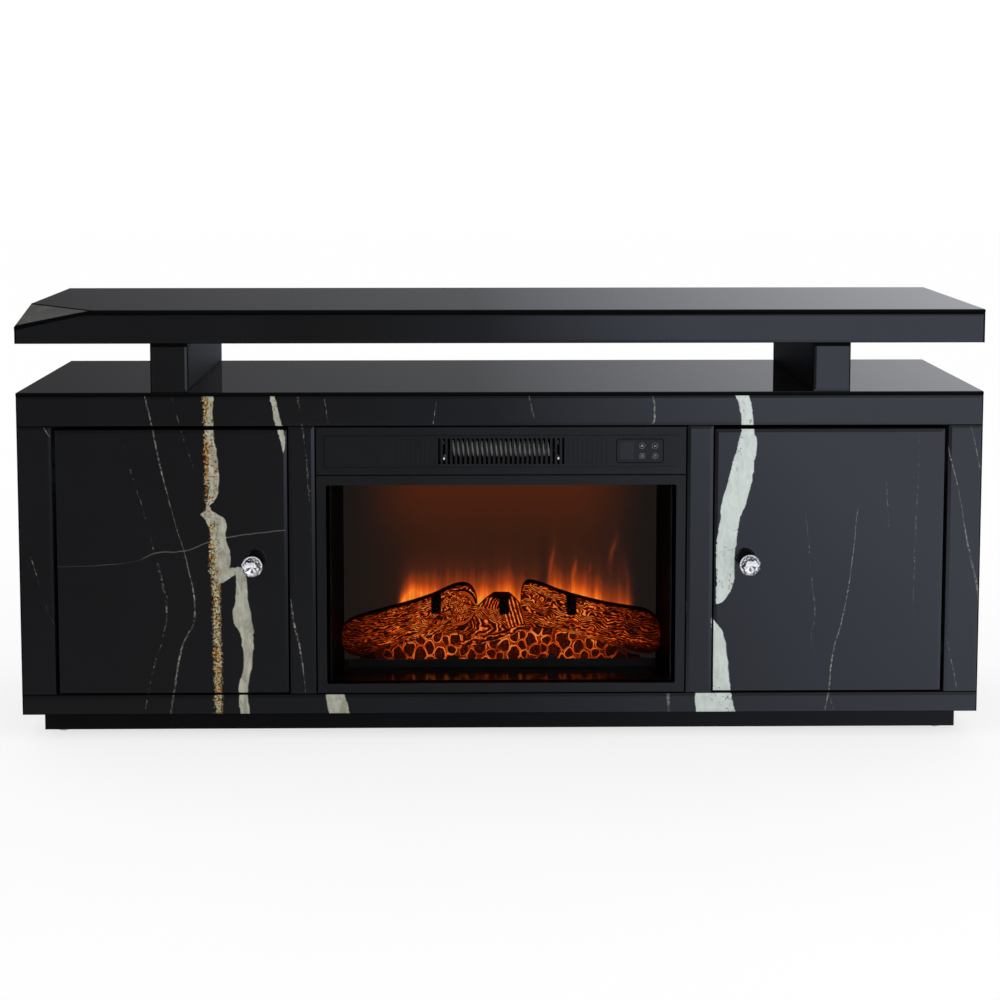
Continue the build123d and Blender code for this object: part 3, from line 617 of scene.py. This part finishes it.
# (place across, half width, brightness, fall) of each tongue, in millimetres
tongues = [
    (-157, 8, 0.16, 16), (-143, 11, 0.74, 19), (-124, 12, 0.60, 22), (-104, 12, 0.62, 25),
    (-84, 11, 0.50, 30), (-66, 12, 0.58, 28), (-46, 11, 0.60, 28), (-24, 12, 0.72, 25),
    (-2, 10, 0.62, 27), (14, 12, 0.80, 26), (36, 11, 0.52, 28), (56, 11, 0.42, 32),
    (84, 9, 0.80, 30), (98, 11, 0.62, 27), (120, 11, 0.80, 26), (139, 11, 0.64, 27), (160, 11, 0.56, 28),
    (180, 10, 0.27, 34), (196, 9, 0.27, 32), (209, 8, 0.12, 20),
]
# (place across, half width, length, brightness, lean, height of the middle) of each loose flame
wisps = [
    (84, 3.0, 52, 0.24, 9, 104), (121, 3.0, 34, 0.2, 8, 90), (186, 3.8, 52, 0.26, 13, 118),
    (146, 2.4, 18, 0.12, 3, 92), (207, 4.0, 60, 0.14, -8, 74),
]


def flameScreen(look):
    n = startMaterial("flameScreen")
    x, _, z = n.axes()
    across, up = n.over(x, mm), n.over(n.less(z, look["floor"]), mm)
    sway = n.times(n.less(n.noise(20, 2, 0.5, n.coords((1, 1, 0.6))), 0.5), n.span(up, 40, 160, 2.0, 34.0))
    across = n.plus(across, sway)
    total = None
    for place, width, bright, fall in tongues:
        off = n.over(n.less(across, place), width)
        drop = n.over(n.less(up, look["full"]), fall)
        fading = n.less(n.times(drop, -1.0), n.times(off, off))
        heat = n.times(n.sum("POWER", math.e, fading), bright * 0.62)
        total = heat if total is None else n.plus(total, heat)
    for place, width, tall, bright, lean, middle in wisps:
        rise = n.over(n.less(up, middle), tall / 2)
        leaning = n.span(rise, -1, 1, place - lean / 2, place + lean / 2)
        off = n.over(n.less(across, leaning), width)
        spread = n.plus(n.times(off, off), n.times(rise, rise))
        total = n.plus(total, n.times(n.sum("POWER", math.e, n.times(spread, -1.0)), bright))
    streaks = n.noise(210, 3, 0.6, n.coords((1, 1, 0.045)))
    fade = n.times(n.least(total, 1.1), n.span(streaks, 0.3, 0.7, 0.80, 1.20))
    fade = n.times(fade, n.span(up, 8, 34, 0.0, 1.0, smooth=True))
    shades = zip((0.16, 0.42, 0.66, 0.84, 1.0), look["hot"])
    hot = [(0.0, (0, 0, 0))] + [(place, linear(*c)) for place, c in shades]
    colour = n.ramp(n.span(fade, 0.0, 1.25), hot)
    # a dull red haze over the whole screen, strongest at the top of the middle
    sideFade = n.span(n.size(n.over(x, mm)), 110, 245, 1.0, 0.0, smooth=True)
    topGlow = n.times(n.span(z, 0.25, 0.39, 0.0, 1.0, smooth=True), sideFade)
    haze = n.blend(n.times(sideFade, 0.75), linear(*look["smoke"]), linear(*look["ember"]))
    haze = n.blend(n.times(topGlow, 0.8), haze, linear(84, 37, 17))
    add = n.add("Mix", data_type="RGBA", blend_type="ADD")
    add.inputs["Factor"].default_value = 1.0
    n.put(add.inputs[6], haze)
    n.put(add.inputs[7], colour)
    shader = principled(n, linear(8, 6, 5), n.span(streaks, 0, 1, 0.6, 0.7), gloss=0.05)
    n.put(shader.inputs["Emission Color"], add.outputs[2])
    shader.inputs["Emission Strength"].default_value = 1.0
    return n.finish(shader)


wear(flameScreen(flameLook), "flame_screen")
print("flames drawn")


# helpers for pieces that replace or join the plain parts
def addObject(name, data, *materials):
    for material in materials:
        data.materials.append(material)
    made = bpy.data.objects.new(name, data)
    bpy.context.collection.objects.link(made)
    return made


def bmeshPiece(name, bm, body, *materials):
    mesh = bpy.data.meshes.new(name)
    bm.to_mesh(mesh)
    bm.free()
    piece = addObject(name, mesh, *materials)
    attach(piece, body)
    return piece


def meshPiece(name, verts, faces, material, **values):
    # a smooth piece of the cabinet from plain lists, with number attributes on its points
    mesh = bpy.data.meshes.new(name)
    mesh.from_pydata([tuple(v) for v in verts], [], faces)
    for key, numbers in values.items():
        attribute = mesh.attributes.new(key, "FLOAT", "POINT")
        attribute.data.foreach_set("value", np.asarray(numbers, dtype=np.float32))
    mesh.polygons.foreach_set("use_smooth", [True] * len(mesh.polygons))
    mesh.update()
    piece = addObject(name, mesh, material)
    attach(piece, "cabinet")
    return piece


def gridFaces(rows, columns, wrap, start=0):
    faces = []
    for r in range(rows - 1):
        for c in range(columns if wrap else columns - 1):
            d = (c + 1) % columns
            a, b = start + r * columns, start + (r + 1) * columns
            faces.append((a + c, a + d, b + d, b + c))
    return faces


# the log set
def emberMaterial():
    # "glow" is the heat of a point, "phase" runs up by one from each bark line to the next
    n = startMaterial("glowingResin")
    names = ("glow", "phase", "barked")
    glow, phase, barked = (n.add("Attribute", attribute_name=name).outputs["Fac"] for name in names)
    crust = n.noise(900, 4, 0.7)
    ragged = n.times(n.less(n.noise(260, 2, 0.5), 0.5), 0.5)
    off = n.size(n.less(n.sum("FRACT", n.plus(phase, ragged)), 0.5))
    broken = n.span(n.noise(170, 2, 0.5), 0.38, 0.58, 0.42, 1.15)
    line = n.times(n.span(off, 0.03, 0.29, 1.0, 0.0, smooth=True), broken)
    lined = n.times(glow, n.plus(n.times(line, 0.80), 0.14))
    heat = n.plus(n.times(barked, lined), n.times(n.less(1.0, barked), glow))
    heat = n.times(heat, n.span(crust, 0.3, 0.7, 0.86, 1.14))
    light = n.ramp(heat, [
        (0.0, linear(2, 0, 0)), (0.14, linear(44, 10, 2)), (0.34, linear(122, 32, 3)),
        (0.58, linear(208, 68, 10)), (0.80, linear(252, 108, 28)), (1.0, linear(255, 150, 66)),
    ])
    colour = n.tint(crust, (6, 3, 2), (12, 6, 4))
    shader = principled(n, colour, 0.75, 0.06, Normal=n.bump(crust, 0.0004, 0.5))
    n.put(shader.inputs["Emission Color"], light)
    shader.inputs["Emission Strength"].default_value = 1.0
    return n.finish(shader)


# every log is drawn by its upper and lower edge seen from the front: (across, height), in millimetres.
# "front" is how far its nose lies behind the glass, "tangle" how wild the bark is at either end,
# and each knot is (across, height, size)
logLook = {
    "left": {
        "upper": [
            (-255, 150), (-248, 160), (-227, 168), (-169, 183), (-126, 195), (-97, 207), (-77, 218),
            (-57, 222), (-45, 215), (-38, 200), (-37, 188),
        ],
        "lower": [
            (-257, 146), (-261, 118), (-250, 97), (-215, 97), (-165, 104), (-118, 124), (-84, 141),
            (-62, 149), (-50, 156), (-41, 167), (-37, 182),
        ],
        "front": 92, "tangle": (0.35, 1.0), "bright": 1.04, "seed": 3,
        "knots": [(-117, 168, 8), (-186, 140, 7)],
    },
    "right": {
        "upper": [
            (33, 192), (34, 222), (50, 227), (76, 215), (119, 199), (163, 189), (192, 182), (226, 179),
            (248, 172), (257, 160), (260, 152),
        ],
        "lower": [
            (33, 186), (36, 166), (50, 155), (70, 148), (100, 139), (134, 130), (170, 120), (205, 108),
            (240, 98), (262, 104), (264, 136),
        ],
        "front": 91, "tangle": (1.0, 0.25), "bright": 1.02, "seed": 11,
        "knots": [(132, 172, 8), (66, 196, 7)],
    },
    "branch": {
        "upper": [(-78, 126), (-60, 133), (-30, 140), (0, 149), (26, 158), (40, 160)],
        "lower": [(-78, 122), (-60, 117), (-30, 121), (0, 129), (28, 138), (42, 150)],
        "front": 89, "tangle": (0.3, 0.3), "bright": 1.05, "seed": 31, "knots": [],
    },
}
centreLook = {  # (height, place across) up each side
    "left": [(112, -150), (128, -128), (146, -92), (162, -62), (176, -38), (190, -30), (203, -10)],
    "right": [(112, 190), (124, 172), (138, 128), (152, 78), (172, 40), (190, 30), (203, 14)],
    "front": 98, "slat": 6.0, "seed": 23,
}
tabs = [(-104, 176, 230), (6, 173, 230), (115, 174, 230)]  # middle, foot and top of each black holding tab
tabHalf, tabProud = 8, 1.2
logBack = 129.0  # the moulding is flat behind
logGrid = 0.85  # millimetres between points on the logs
barkLine = 4.5  # millimetres from one line of the bark to the next
barkDepth = 0.6  # how far the bark rises and falls about the log


def bumpy(x, y, z):
    return noise.fractal(Vector((x, y, z)), 0.9, 2.0, 2, noise_basis="PERLIN_ORIGINAL")


def clamp(value):
    return max(0.0, min(1.0, value))


def bark(a, r, seed, tangle):
    # how many lines lie between the axis of the log and this point
    broad = bumpy(a / 26, r / 13, seed) * (3 + 7.5 * tangle)
    fine = bumpy(a / 8, r / 6, seed + 5) * (0.6 + 2.2 * tangle)
    return (r + (broad + fine)) / barkLine


def edgeLine(points, count):
    # an even, softened run along a drawn edge
    steps = np.linspace(0, len(points) - 1, count)
    index = np.arange(len(points))
    soft = max(3, count // len(points))
    line = []
    for k in (0, 1):
        values = np.interp(steps, index, [p[k] for p in points])
        before, after = 2 * values[0] - values[soft:0:-1], 2 * values[-1] - values[-2:-soft - 2:-1]
        padded = np.concatenate([before, values, after])
        line.append(np.convolve(padded, np.ones(2 * soft + 1) / (2 * soft + 1), "same")[soft:-soft])
    return np.stack(line, 1)


def underTab(x, z):
    return any(abs(x - middle) < tabHalf and foot < z < top for middle, foot, top in tabs)


def relief(name, lower, upper, front, heatAt, taper=0.05):
    # a swelling surface between two edges, flat behind and rounded off over the taper at each end
    columns = len(lower)
    wide = max(np.linalg.norm(u - l) for l, u in zip(lower, upper))
    rows = int(wide * 1.35 / logGrid)
    verts, glow, phases, barked = [], [], [], []
    travelled = 0.0
    for c in range(columns):
        middle, half = (lower[c] + upper[c]) / 2, (upper[c] - lower[c]) / 2
        if c:
            travelled += float(np.linalg.norm(middle - before))
        before = middle
        t = c / (columns - 1)
        end = min(1.0, t / taper, (1 - t) / taper)
        swell = math.sqrt(1 - (1 - end) ** 2)
        for r in range(rows):
            angle = math.pi * (r / (rows - 1) - 0.5)
            u = math.sin(angle)
            x, z = middle + half * u
            wrapped = angle * float(np.linalg.norm(half))
            heat, phase, lined = heatAt(x, z, travelled, wrapped, u, t)
            ridge = -barkDepth * math.cos(2 * math.pi * phase) * lined
            y = logBack - (logBack - front) * swell * math.cos(angle) ** 0.85 + ridge * swell
            if underTab(x, z) and name != "logBranch":
                heat, y = 0.0, y - tabProud
            verts.append((x * mm, behind(min(y, logBack)), z * mm))
            glow.append(max(0.0, heat))
            phases.append(phase)
            barked.append(lined)
    faces = gridFaces(columns, rows, True)
    return meshPiece(name, verts, faces, resin, glow=glow, phase=phases, barked=barked)


def makeLog(name, look):
    length = sum(math.dist(a, b) for a, b in zip(look["upper"], look["upper"][1:]))
    count = int(length / logGrid)
    lower, upper = edgeLine(look["lower"], count), edgeLine(look["upper"], count)
    seed = look["seed"]
    branch = name == "branch"

    def heatAt(x, z, a, r, u, t):
        near, far = look["tangle"]
        phase = bark(a, r, seed, near + (far - near) * t)
        for kx, kz, size in look["knots"]:
            phase += 2.3 * math.exp(-((x - kx) ** 2 + (z - kz) ** 2) / size ** 2)
        if name == "right" and t > 0.88:  # growth rings round the far end
            phase = (t - 0.88) * 55 + 0.5 * bumpy(x / 9, z / 9, 4)
        crest = 1.0 if branch else clamp((0.945 + 0.03 * bumpy(x / 7, 0, 2) - u) / 0.05)
        ends = clamp((264 - abs(x)) / 124)
        low = clamp((z - 98) / 34) if abs(x) > 150 else 1.0
        edge = clamp(min(t / 0.02, (1 - t) / 0.02)) if not branch else 1.0
        patch = 0.92 + 0.5 * bumpy(a / 30, r / 20, seed + 2)
        share = clamp((abs(x) - 150) / 50)
        heat = look["bright"] * patch * crest * edge * (0.24 + 0.76 * ends)
        heat *= 1 - share + share * (0.12 + 0.88 * low)
        if branch and u > 0.70:
            return 0.85, phase, 0.0
        return heat, phase, 1.0

    return relief("log" + name.capitalize(), lower, upper, look["front"], heatAt)


def makeCentre(look):
    count = int((look["left"][-1][0] - look["left"][0][0]) / logGrid)
    lower, upper = (edgeLine([(x, z) for z, x in look[side]], count) for side in ("left", "right"))

    def heatAt(x, z, a, r, u, t):
        lean = x - (190 - z) * 0.30
        slatted = 1 < lean < 31 and z > 136
        if slatted:  # upright slats on the right
            phase = lean / look["slat"] + 0.1 * bumpy(x / 12, z / 20, 3)
        else:  # bark that turns from level at the foot to slanting at the top
            turn = math.radians(18 + 42 * clamp((z - 142) / 40))
            warp = 5 * bumpy(x / 22, z / 14, look["seed"])
            phase = (z * math.cos(turn) - x * math.sin(turn) + warp) / barkLine
        top = clamp((0.955 - t) / 0.03)
        side = clamp((0.985 - abs(u)) / 0.04) if z > 160 else 1.0
        return (1.18 if slatted else 0.98) * (0.7 if abs(x) > 40 else 1.0) * top * side, phase, 1.0

    return relief("logCentre", lower, upper, look["front"], heatAt, 0.07)


sawnLook = {"middle": (-65, 184), "half": (26.5, 31), "lean": 3, "front": 90.2, "dome": 7.5}


def makeSawnEnd(look):
    # the oval end of the left log
    (cx, cz), (wide, tall), front = look["middle"], look["half"], look["front"]
    rings, around = 34, 110
    verts, glow, phases, barked = [(cx * mm, behind(front), cz * mm)], [0.9], [0.0], [1.0]
    for k in range(1, rings + 1):
        share = k / rings
        for c in range(around):
            angle = 2 * math.pi * c / around
            x = cx + wide * share * math.cos(angle) + look["lean"] * share * math.sin(angle)
            z = cz + tall * share * math.sin(angle)
            phases.append(3.6 * share + 2.6 * bumpy(x / 10, z / 7, 60))
            right = clamp((math.cos(angle) + 0.25) / 0.4)
            rim = max(math.exp(-((share - place) / 0.022) ** 2) for place in (0.80, 0.875))
            outer = right * clamp((share - 0.74) / 0.02)
            heat = 1.0 * (1 - outer) + 0.85 * rim * outer
            heat *= 1 - right * clamp((share - 0.91) / 0.02)
            heat *= clamp((0.93 - math.sin(angle) * share) / 0.06)
            y = front + look["dome"] * share ** 2.4 + (2.5 if share == 1 else 0)
            verts.append((x * mm, behind(y), z * mm))
            glow.append(0.0 if underTab(x, z) else heat)
            barked.append(1 - outer)
    faces = [(0, 1 + (c + 1) % around, 1 + c) for c in range(around)] + gridFaces(rings, around, True, 1)
    return meshPiece("logSawnEnd", verts, faces, resin, glow=glow, phase=phases, barked=barked)


emberLook = {
    "top": [
        (-228, 99), (-200, 113), (-163, 134), (-111, 140), (-77, 143), (-25, 134), (5, 140), (33, 154),
        (76, 151), (110, 142), (148, 131), (190, 118), (228, 99),
    ],
    "foot": 96.5, "front": 88.8, "coals": 104, "lump": 20.0, "crowd": 0.62, "round": 11.6,
    "seed": 7,
}


def makeEmbers(look):
    # a bank of coals: rounded lumps with light between them
    rng = np.random.default_rng(look["seed"])
    seeds = []
    while len(seeds) < look["coals"]:
        x, z, size = rng.uniform(-236, 236), rng.uniform(88, 158), rng.uniform(0.62, 1.25)
        spaced = (
            (x - a) ** 2 + (z - b) ** 2 > (look["lump"] * 0.5 * (size + c)) ** 2 * look["crowd"]
            for a, b, c in seeds
        )
        if all(spaced):
            seeds.append((x, z, size))
    sx, sz, ss = (np.array(v) for v in zip(*seeds))
    columns, rows, deepRows = 720, 84, 8
    tops = edgeLine(look["top"], columns)
    verts, glow = [], []
    for r in range(rows + deepRows):
        s = min(1.0, r / (rows - 1))
        for x, top in tops:
            top += 2.5 * bumpy(x / 13, 0, 4)
            z = look["foot"] + (top - look["foot"]) * s
            wx, wz = (v + 3.4 * bumpy(x / 14, z / 14, k) for v, k in ((x, 1), (z, 8)))
            d = np.hypot(sx - wx, (sz - wz) * 0.86) / ss
            first, second = np.partition(d, 1)[:2]
            # rounded off where the lump would have a corner
            wall, reach = float(second - first) / 2, look["round"] - float(first)
            edge = -0.8 * math.log(math.exp(-wall / 0.8) + math.exp(-reach / 0.8))
            lump = clamp(edge / 4.2)
            y = look["front"] + 8.0 * s ** 1.3 + 3.2 * (1 - lump) ** 2
            rim = math.exp(-((edge - 0.72) / 0.52) ** 2)
            gap = 0.22 * clamp(-edge / 1.2)
            inner = math.exp(-(bumpy(x / 6, z / 3.4, 33) / 0.10) ** 2)
            spots = 0.80 + 0.75 * bumpy(x / 24, z / 18, 15)
            sides = clamp((212 - abs(x)) / 75)
            heat = 0.11 + (1.08 * rim + gap) * spots + 0.16 * inner
            heat = heat * (0.12 + 0.88 * sides) * (0.84 + 0.30 * s)
            if r >= rows:  # the bank falls back behind its crest
                back = (r - rows + 1) / deepRows
                y += (logBack - 2 - y) * back
                z -= 14 * back ** 2 * min(1.0, (top - look["foot"]) / 20)
                heat *= 0.25
            verts.append((x * mm, behind(y), z * mm))
            glow.append(heat)
    faces = gridFaces(rows + deepRows, columns, False)
    return meshPiece("emberBed", verts, faces, resin, glow=glow)


resin = emberMaterial()
logPieces = [makeLog(name, look) for name, look in logLook.items()]
logPieces += [makeCentre(centreLook), makeSawnEnd(sawnLook), makeEmbers(emberLook)]
for piece in logPieces:
    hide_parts("log_set")
print("logs moulded:", sum(len(p.data.vertices) for p in logPieces), "points")


# heating element behind the slats
coilLook = {"turns": 21, "wind": 12.0, "squash": 0.8, "wire": 1.5, "reach": 77.7, "core": 3.6, "rod": 95}
terminalLook = {"across": 88.8, "drop": 11.5, "radius": 1.85, "depths": (1.2, 3, 24, 34)}


def tube(name, points, radius, material, sides=10):
    # a round bar swept along points, in metres
    verts, faces = [], []
    count = len(points)
    for i, p in enumerate(points):
        way = (points[min(i + 1, count - 1)] - points[max(i - 1, 0)]).normalized()
        across = way.cross(Vector((0.13, 0.31, 0.94))).normalized()
        other = way.cross(across)
        for k in range(sides):
            a = 2 * math.pi * k / sides
            verts.append(p + (across * math.cos(a) + other * math.sin(a)) * radius)
    faces = gridFaces(count, sides, True)
    faces.append(tuple(reversed(range(sides))))
    faces.append(tuple((count - 1) * sides + k for k in range(sides)))
    return meshPiece(name, verts, faces, material)


def makeElement(look):
    low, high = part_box("heating_element")
    y, z = behind(30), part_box("fan_rotor")[0].z / 2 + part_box("fan_rotor")[1].z / 2
    points = []
    perTurn, wind = 20, look["wind"] * mm
    steps = look["turns"] * perTurn
    for i in range(steps + 1):
        a = 2 * math.pi * i / perTurn
        x = (-look["reach"] + 2 * look["reach"] * i / steps) * mm
        points.append(Vector((x, y + math.cos(a) * wind * look["squash"], z + math.sin(a) * wind)))
    brightWire = coat("coilWire", (70, 3, 0.6), (214, 212, 208), (234, 232, 228), (70, 3, 0.6), 0.32, 0.42)
    wire = tube("coil", points, look["wire"] * mm, brightWire)
    rod = [Vector((share * look["rod"] * mm, y, z)) for share in (-1, -0.34, 0.34, 1)]
    core = tube("coilCore", rod, look["core"] * mm, darkMoulding, 16)
    bars, middle, size, bar = bmesh.new(), (low + high) / 2, high - low, 2 * mm
    level, upright = (size.x, size.y, bar, 1), (bar, size.y, size.z - 2 * bar, 1)
    places = [((middle.x, middle.y, end), level) for end in (low.z + bar / 2, high.z - bar / 2)]
    places += [((end, middle.y, middle.z), upright) for end in (low.x + bar / 2, high.x - bar / 2)]
    for place, shape in places:
        bmesh.ops.create_cube(bars, size=1, matrix=Matrix.Translation(place) @ Matrix.Diagonal(shape))
    bmesh.ops.bevel(bars, geom=bars.edges[:], offset=0.3 * mm, segments=2, affect="EDGES")
    holder = bmeshPiece("elementFrame", bars, "cabinet", powderCoat)
    ceramic = coat("whiteCeramic", (120, 4), (226, 224, 220), (240, 239, 236), (300, 2), 0.6, 0.75)
    made = [wire, core, holder]
    pin = terminalLook
    for side, name in ((-1, "terminalLeft"), (1, "terminalRight")):
        line = [Vector((side * pin["across"] * mm, behind(d), z - pin["drop"] * mm)) for d in pin["depths"]]
        made.append(tube(name, line, pin["radius"] * mm, ceramic, 14))
    for piece in made:
        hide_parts("heating_element")


makeElement(coilLook)
print("heating element wound")


# crystals on the door knobs
crystalLook = {
    "sides": 12,
    # (radius share, depth share from the back, turned by half a side) of each ring of corners
    "rows": [
        (0.10, 0.04, False), (0.62, 0.16, True), (0.97, 0.38, False), (1.0, 0.50, True),
        (0.86, 0.72, False), (0.70, 0.88, True), (0.50, 0.985, False),
    ],
    "silvered": 0.46,  # share of the depth, from the back, that is silvered
}


def cutGlass():
    n = startMaterial("cutCrystal")
    tint = n.blend(n.span(n.noise(200, 2), 0.3, 0.7), (1.0, 1.0, 1.0), (0.96, 0.97, 0.99))
    shader = principled(n, tint, 0.0, IOR=1.62)
    shader.inputs["Transmission Weight"].default_value = 1.0
    return n.finish(shader)


def makeCrystal(door, material, foil):
    low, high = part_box(f"{door}_crystal")
    cx, cz = (low.x + high.x) / 2, (low.z + high.z) / 2
    radius, back, tip = (high.x - low.x) / 2, high.y, low.y
    deep = back - tip
    sides = crystalLook["sides"]
    bm = bmesh.new()
    rings = []
    for share, depth, turned in crystalLook["rows"]:
        ring = []
        for k in range(sides):
            a = 2 * math.pi * (k + (0.5 if turned else 0)) / sides
            x, z = cx + math.cos(a) * share * radius, cz + math.sin(a) * share * radius
            ring.append(bm.verts.new((x, back - deep * depth, z)))
        rings.append(ring)
    for ra, rb, (share, depth, turned) in zip(rings, rings[1:], crystalLook["rows"][1:]):
        for k in range(sides):
            j = (k + 1) % sides
            if turned:
                bm.faces.new((ra[k], ra[j], rb[k]))
                bm.faces.new((ra[j], rb[j], rb[k]))
            else:
                bm.faces.new((ra[k], rb[j], rb[k]))
                bm.faces.new((ra[k], ra[j], rb[j]))
    bm.faces.new(rings[0])
    bm.faces.new(rings[-1])
    bmesh.ops.recalc_face_normals(bm, faces=bm.faces)
    middle = back - deep * crystalLook["silvered"]
    for face in bm.faces:  # the back of the stone is silvered
        face.material_index = 1 if face.calc_center_median().y > middle else 0
    piece = bmeshPiece(door + "Crystal", bm, door, material, foil)
    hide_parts(f"{door}_crystal")


def silverFoil():
    n = startMaterial("silverFoil")
    tint = n.blend(n.span(n.noise(260, 2), 0.3, 0.7), (0.96, 0.96, 0.98), (0.88, 0.88, 0.92))
    return n.finish(principled(n, tint, n.span(n.noise(300, 2), 0.3, 0.7, 0.02, 0.06), Metallic=1.0))


crystal, foil = cutGlass(), silverFoil()
for door in ("door_left", "door_right"):
    makeCrystal(door, crystal, foil)
print("crystals cut")


# marks on the four buttons
markLook = {"line": 0.62, "size": 2.5, "ring": 4.7, "proud": 0.00012}


def markPaint():
    n = startMaterial("buttonMarks")
    worn = n.noise(900, 3, 0.6)
    return n.finish(principled(n, n.tint(worn, (172, 174, 178), (126, 127, 130), 0.35, 0.7), 0.5))


def arc(first, last, radius, steps):
    turns = [math.radians(first + (last - first) * i / steps) for i in range(steps + 1)]
    return [(math.sin(a) * radius, math.cos(a) * radius) for a in turns]


def strokes(kind, size):
    # each mark as lines through points, across and up in millimetres
    wide = size * 0.8
    if kind == "up":
        return [[(-wide, -size * 0.5), (0, size * 0.75), (wide, -size * 0.5), (-wide, -size * 0.5)]]
    if kind == "down":
        return [[(-wide, size * 0.45), (0, -size * 0.7), (wide, size * 0.45)]]
    if kind == "timer":
        return [arc(0, 360, wide, 18), [(0, size * 0.4), (0, 0), (size * 0.35, -size * 0.2)]]
    return [arc(35, 325, wide, 18), [(0, size * 0.95), (0, size * 0.1)]]


def makeMark(kind, paint):
    node = "button_" + kind
    low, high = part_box(node)
    cx, cz = (low.x + high.x) / 2, (low.z + high.z) / 2
    half = markLook["line"] / 2
    bm = bmesh.new()
    front, back = low.y - markLook["proud"], low.y + 0.0001
    ring = arc(0, 360, markLook["ring"], 36)
    for line in strokes(kind, markLook["size"]) + [ring]:
        for (ax, az), (bx, bz) in zip(line, line[1:]):
            way = Vector((bx - ax, bz - az)).normalized()
            side = Vector((-way.y, way.x)) * (half if line is not ring else half * 0.55)
            past = way * half * 0.5  # a stroke runs a little past its points
            px, pz, qx, qz = ax - past.x, az - past.y, bx + past.x, bz + past.y
            corners = [
                (px + side.x, pz + side.y), (qx + side.x, qz + side.y),
                (qx - side.x, qz - side.y), (px - side.x, pz - side.y),
            ]
            top = [bm.verts.new((cx + x * mm, front, cz + z * mm)) for x, z in corners]
            foot = [bm.verts.new((cx + x * mm, back, cz + z * mm)) for x, z in corners]
            bm.faces.new(top)
            for k in range(4):
                bm.faces.new((top[k], top[(k + 1) % 4], foot[(k + 1) % 4], foot[k]))
    bmesh.ops.recalc_face_normals(bm, faces=bm.faces)
    piece = bmeshPiece("mark" + kind.capitalize(), bm, node, paint)


paint = markPaint()
for kind in ("up", "down", "timer", "power"):
    makeMark(kind, paint)
print("buttons marked")


# floor, room and light
roomLook = {
    # how bright the room looks in a polished surface, from left to right
    "mirrored": [
        (0.0, (0.062, 0.062, 0.066)), (0.26, (0.080, 0.080, 0.084)), (0.5, (0.155, 0.158, 0.168)),
        (0.76, (0.54, 0.55, 0.585)), (1.0, (0.93, 0.94, 0.98)),
    ],
    "mirroredFloor": [
        (0.0, (0.15, 0.155, 0.165)), (0.2, (0.18, 0.18, 0.19)), (0.5, (0.27, 0.30, 0.36)),
        (0.8, (0.80, 0.88, 1.10)), (1.0, (1.05, 1.15, 1.4)),
    ],
    "white": 1.04,
    "lift": 0.72,  # how much of the floor's own shadow is hidden
}
lampLook = {"place": (1.6, -2.6, 2.6), "aim": (0, 0, 0.3), "size": (1.8, 1.8), "power": 14}


def mirrorRay(n):
    # 1 for light going to a mirror-like surface, 0 for light that has passed through the crystals
    path = n.add("LightPath")
    return n.times(path.outputs["Is Glossy Ray"], n.less(1.0, path.outputs["Is Transmission Ray"]))


def makeFloor(look):
    mesh = bpy.data.meshes.new("studioFloor")
    reach = 14.0
    corners = [(x * reach, y * reach, 0) for x, y in ((-1, -1), (1, -1), (1, 1), (-1, 1))]
    mesh.from_pydata(corners, [], [(0, 1, 2, 3)])
    n = startMaterial("paleFloor")
    paper = n.noise(3, 3)
    diffuse = n.add("BsdfDiffuse")
    pale = n.blend(n.span(paper, 0.3, 0.7), (0.93, 0.93, 0.93), (0.945, 0.945, 0.945))
    n.put(diffuse.inputs["Color"], pale)
    paleGlow = n.add("Emission")
    paleGlow.inputs["Color"].default_value = (1, 1, 1, 1)
    # the floor looks brighter to the eye than its own shade
    seen = n.mixed(n.times(n.add("LightPath").outputs["Is Camera Ray"], look["lift"]), diffuse, paleGlow)
    card = n.add("Emission")
    n.put(card.inputs["Color"], n.ramp(n.span(n.axes()[0], -1.0, 1.0), look["mirroredFloor"]))
    addObject("studioFloor", mesh, n.finish(n.mixed(mirrorRay(n), seen, card)))


def makeRoom(look):
    world = bpy.data.worlds.new("studioRoom")
    bpy.context.scene.world = world
    n = Nodes(world)
    way = n.add("TexCoord").outputs["Generated"]
    mirrored = n.ramp(n.span(n.axes(way)[0], -0.45, 0.45), look["mirrored"])
    white = n.add("Background")
    panels = n.span(n.noise(5.5, 2, 0.5, way), 0.44, 0.50)
    through = n.add("LightPath").outputs["Is Transmission Ray"]  # dark panels, seen only in the crystals
    dark = n.times(through, n.less(1.0, panels))
    n.put(white.inputs["Color"], n.blend(dark, (1.0, 1.0, 1.0), (0.03, 0.03, 0.05)))
    white.inputs["Strength"].default_value = look["white"]
    card = n.add("Background")
    n.put(card.inputs["Color"], mirrored)
    n.finish(n.mixed(mirrorRay(n), white, card), "OutputWorld")


def makeLamp(name, look):
    data = bpy.data.lights.new(name, "AREA")
    data.shape = "RECTANGLE"
    data.size, data.size_y = look["size"]
    data.energy = look["power"]
    lamp = addObject(name, data)
    lamp.location = look["place"]
    way = Vector(look["aim"]) - Vector(look["place"])
    lamp.rotation_euler = way.to_track_quat("-Z", "Y").to_euler()
    lamp.visible_glossy = False
    lamp.visible_camera = False


makeFloor(roomLook)
makeRoom(roomLook)
makeLamp("keySoftbox", lampLook)
print("studio lit")
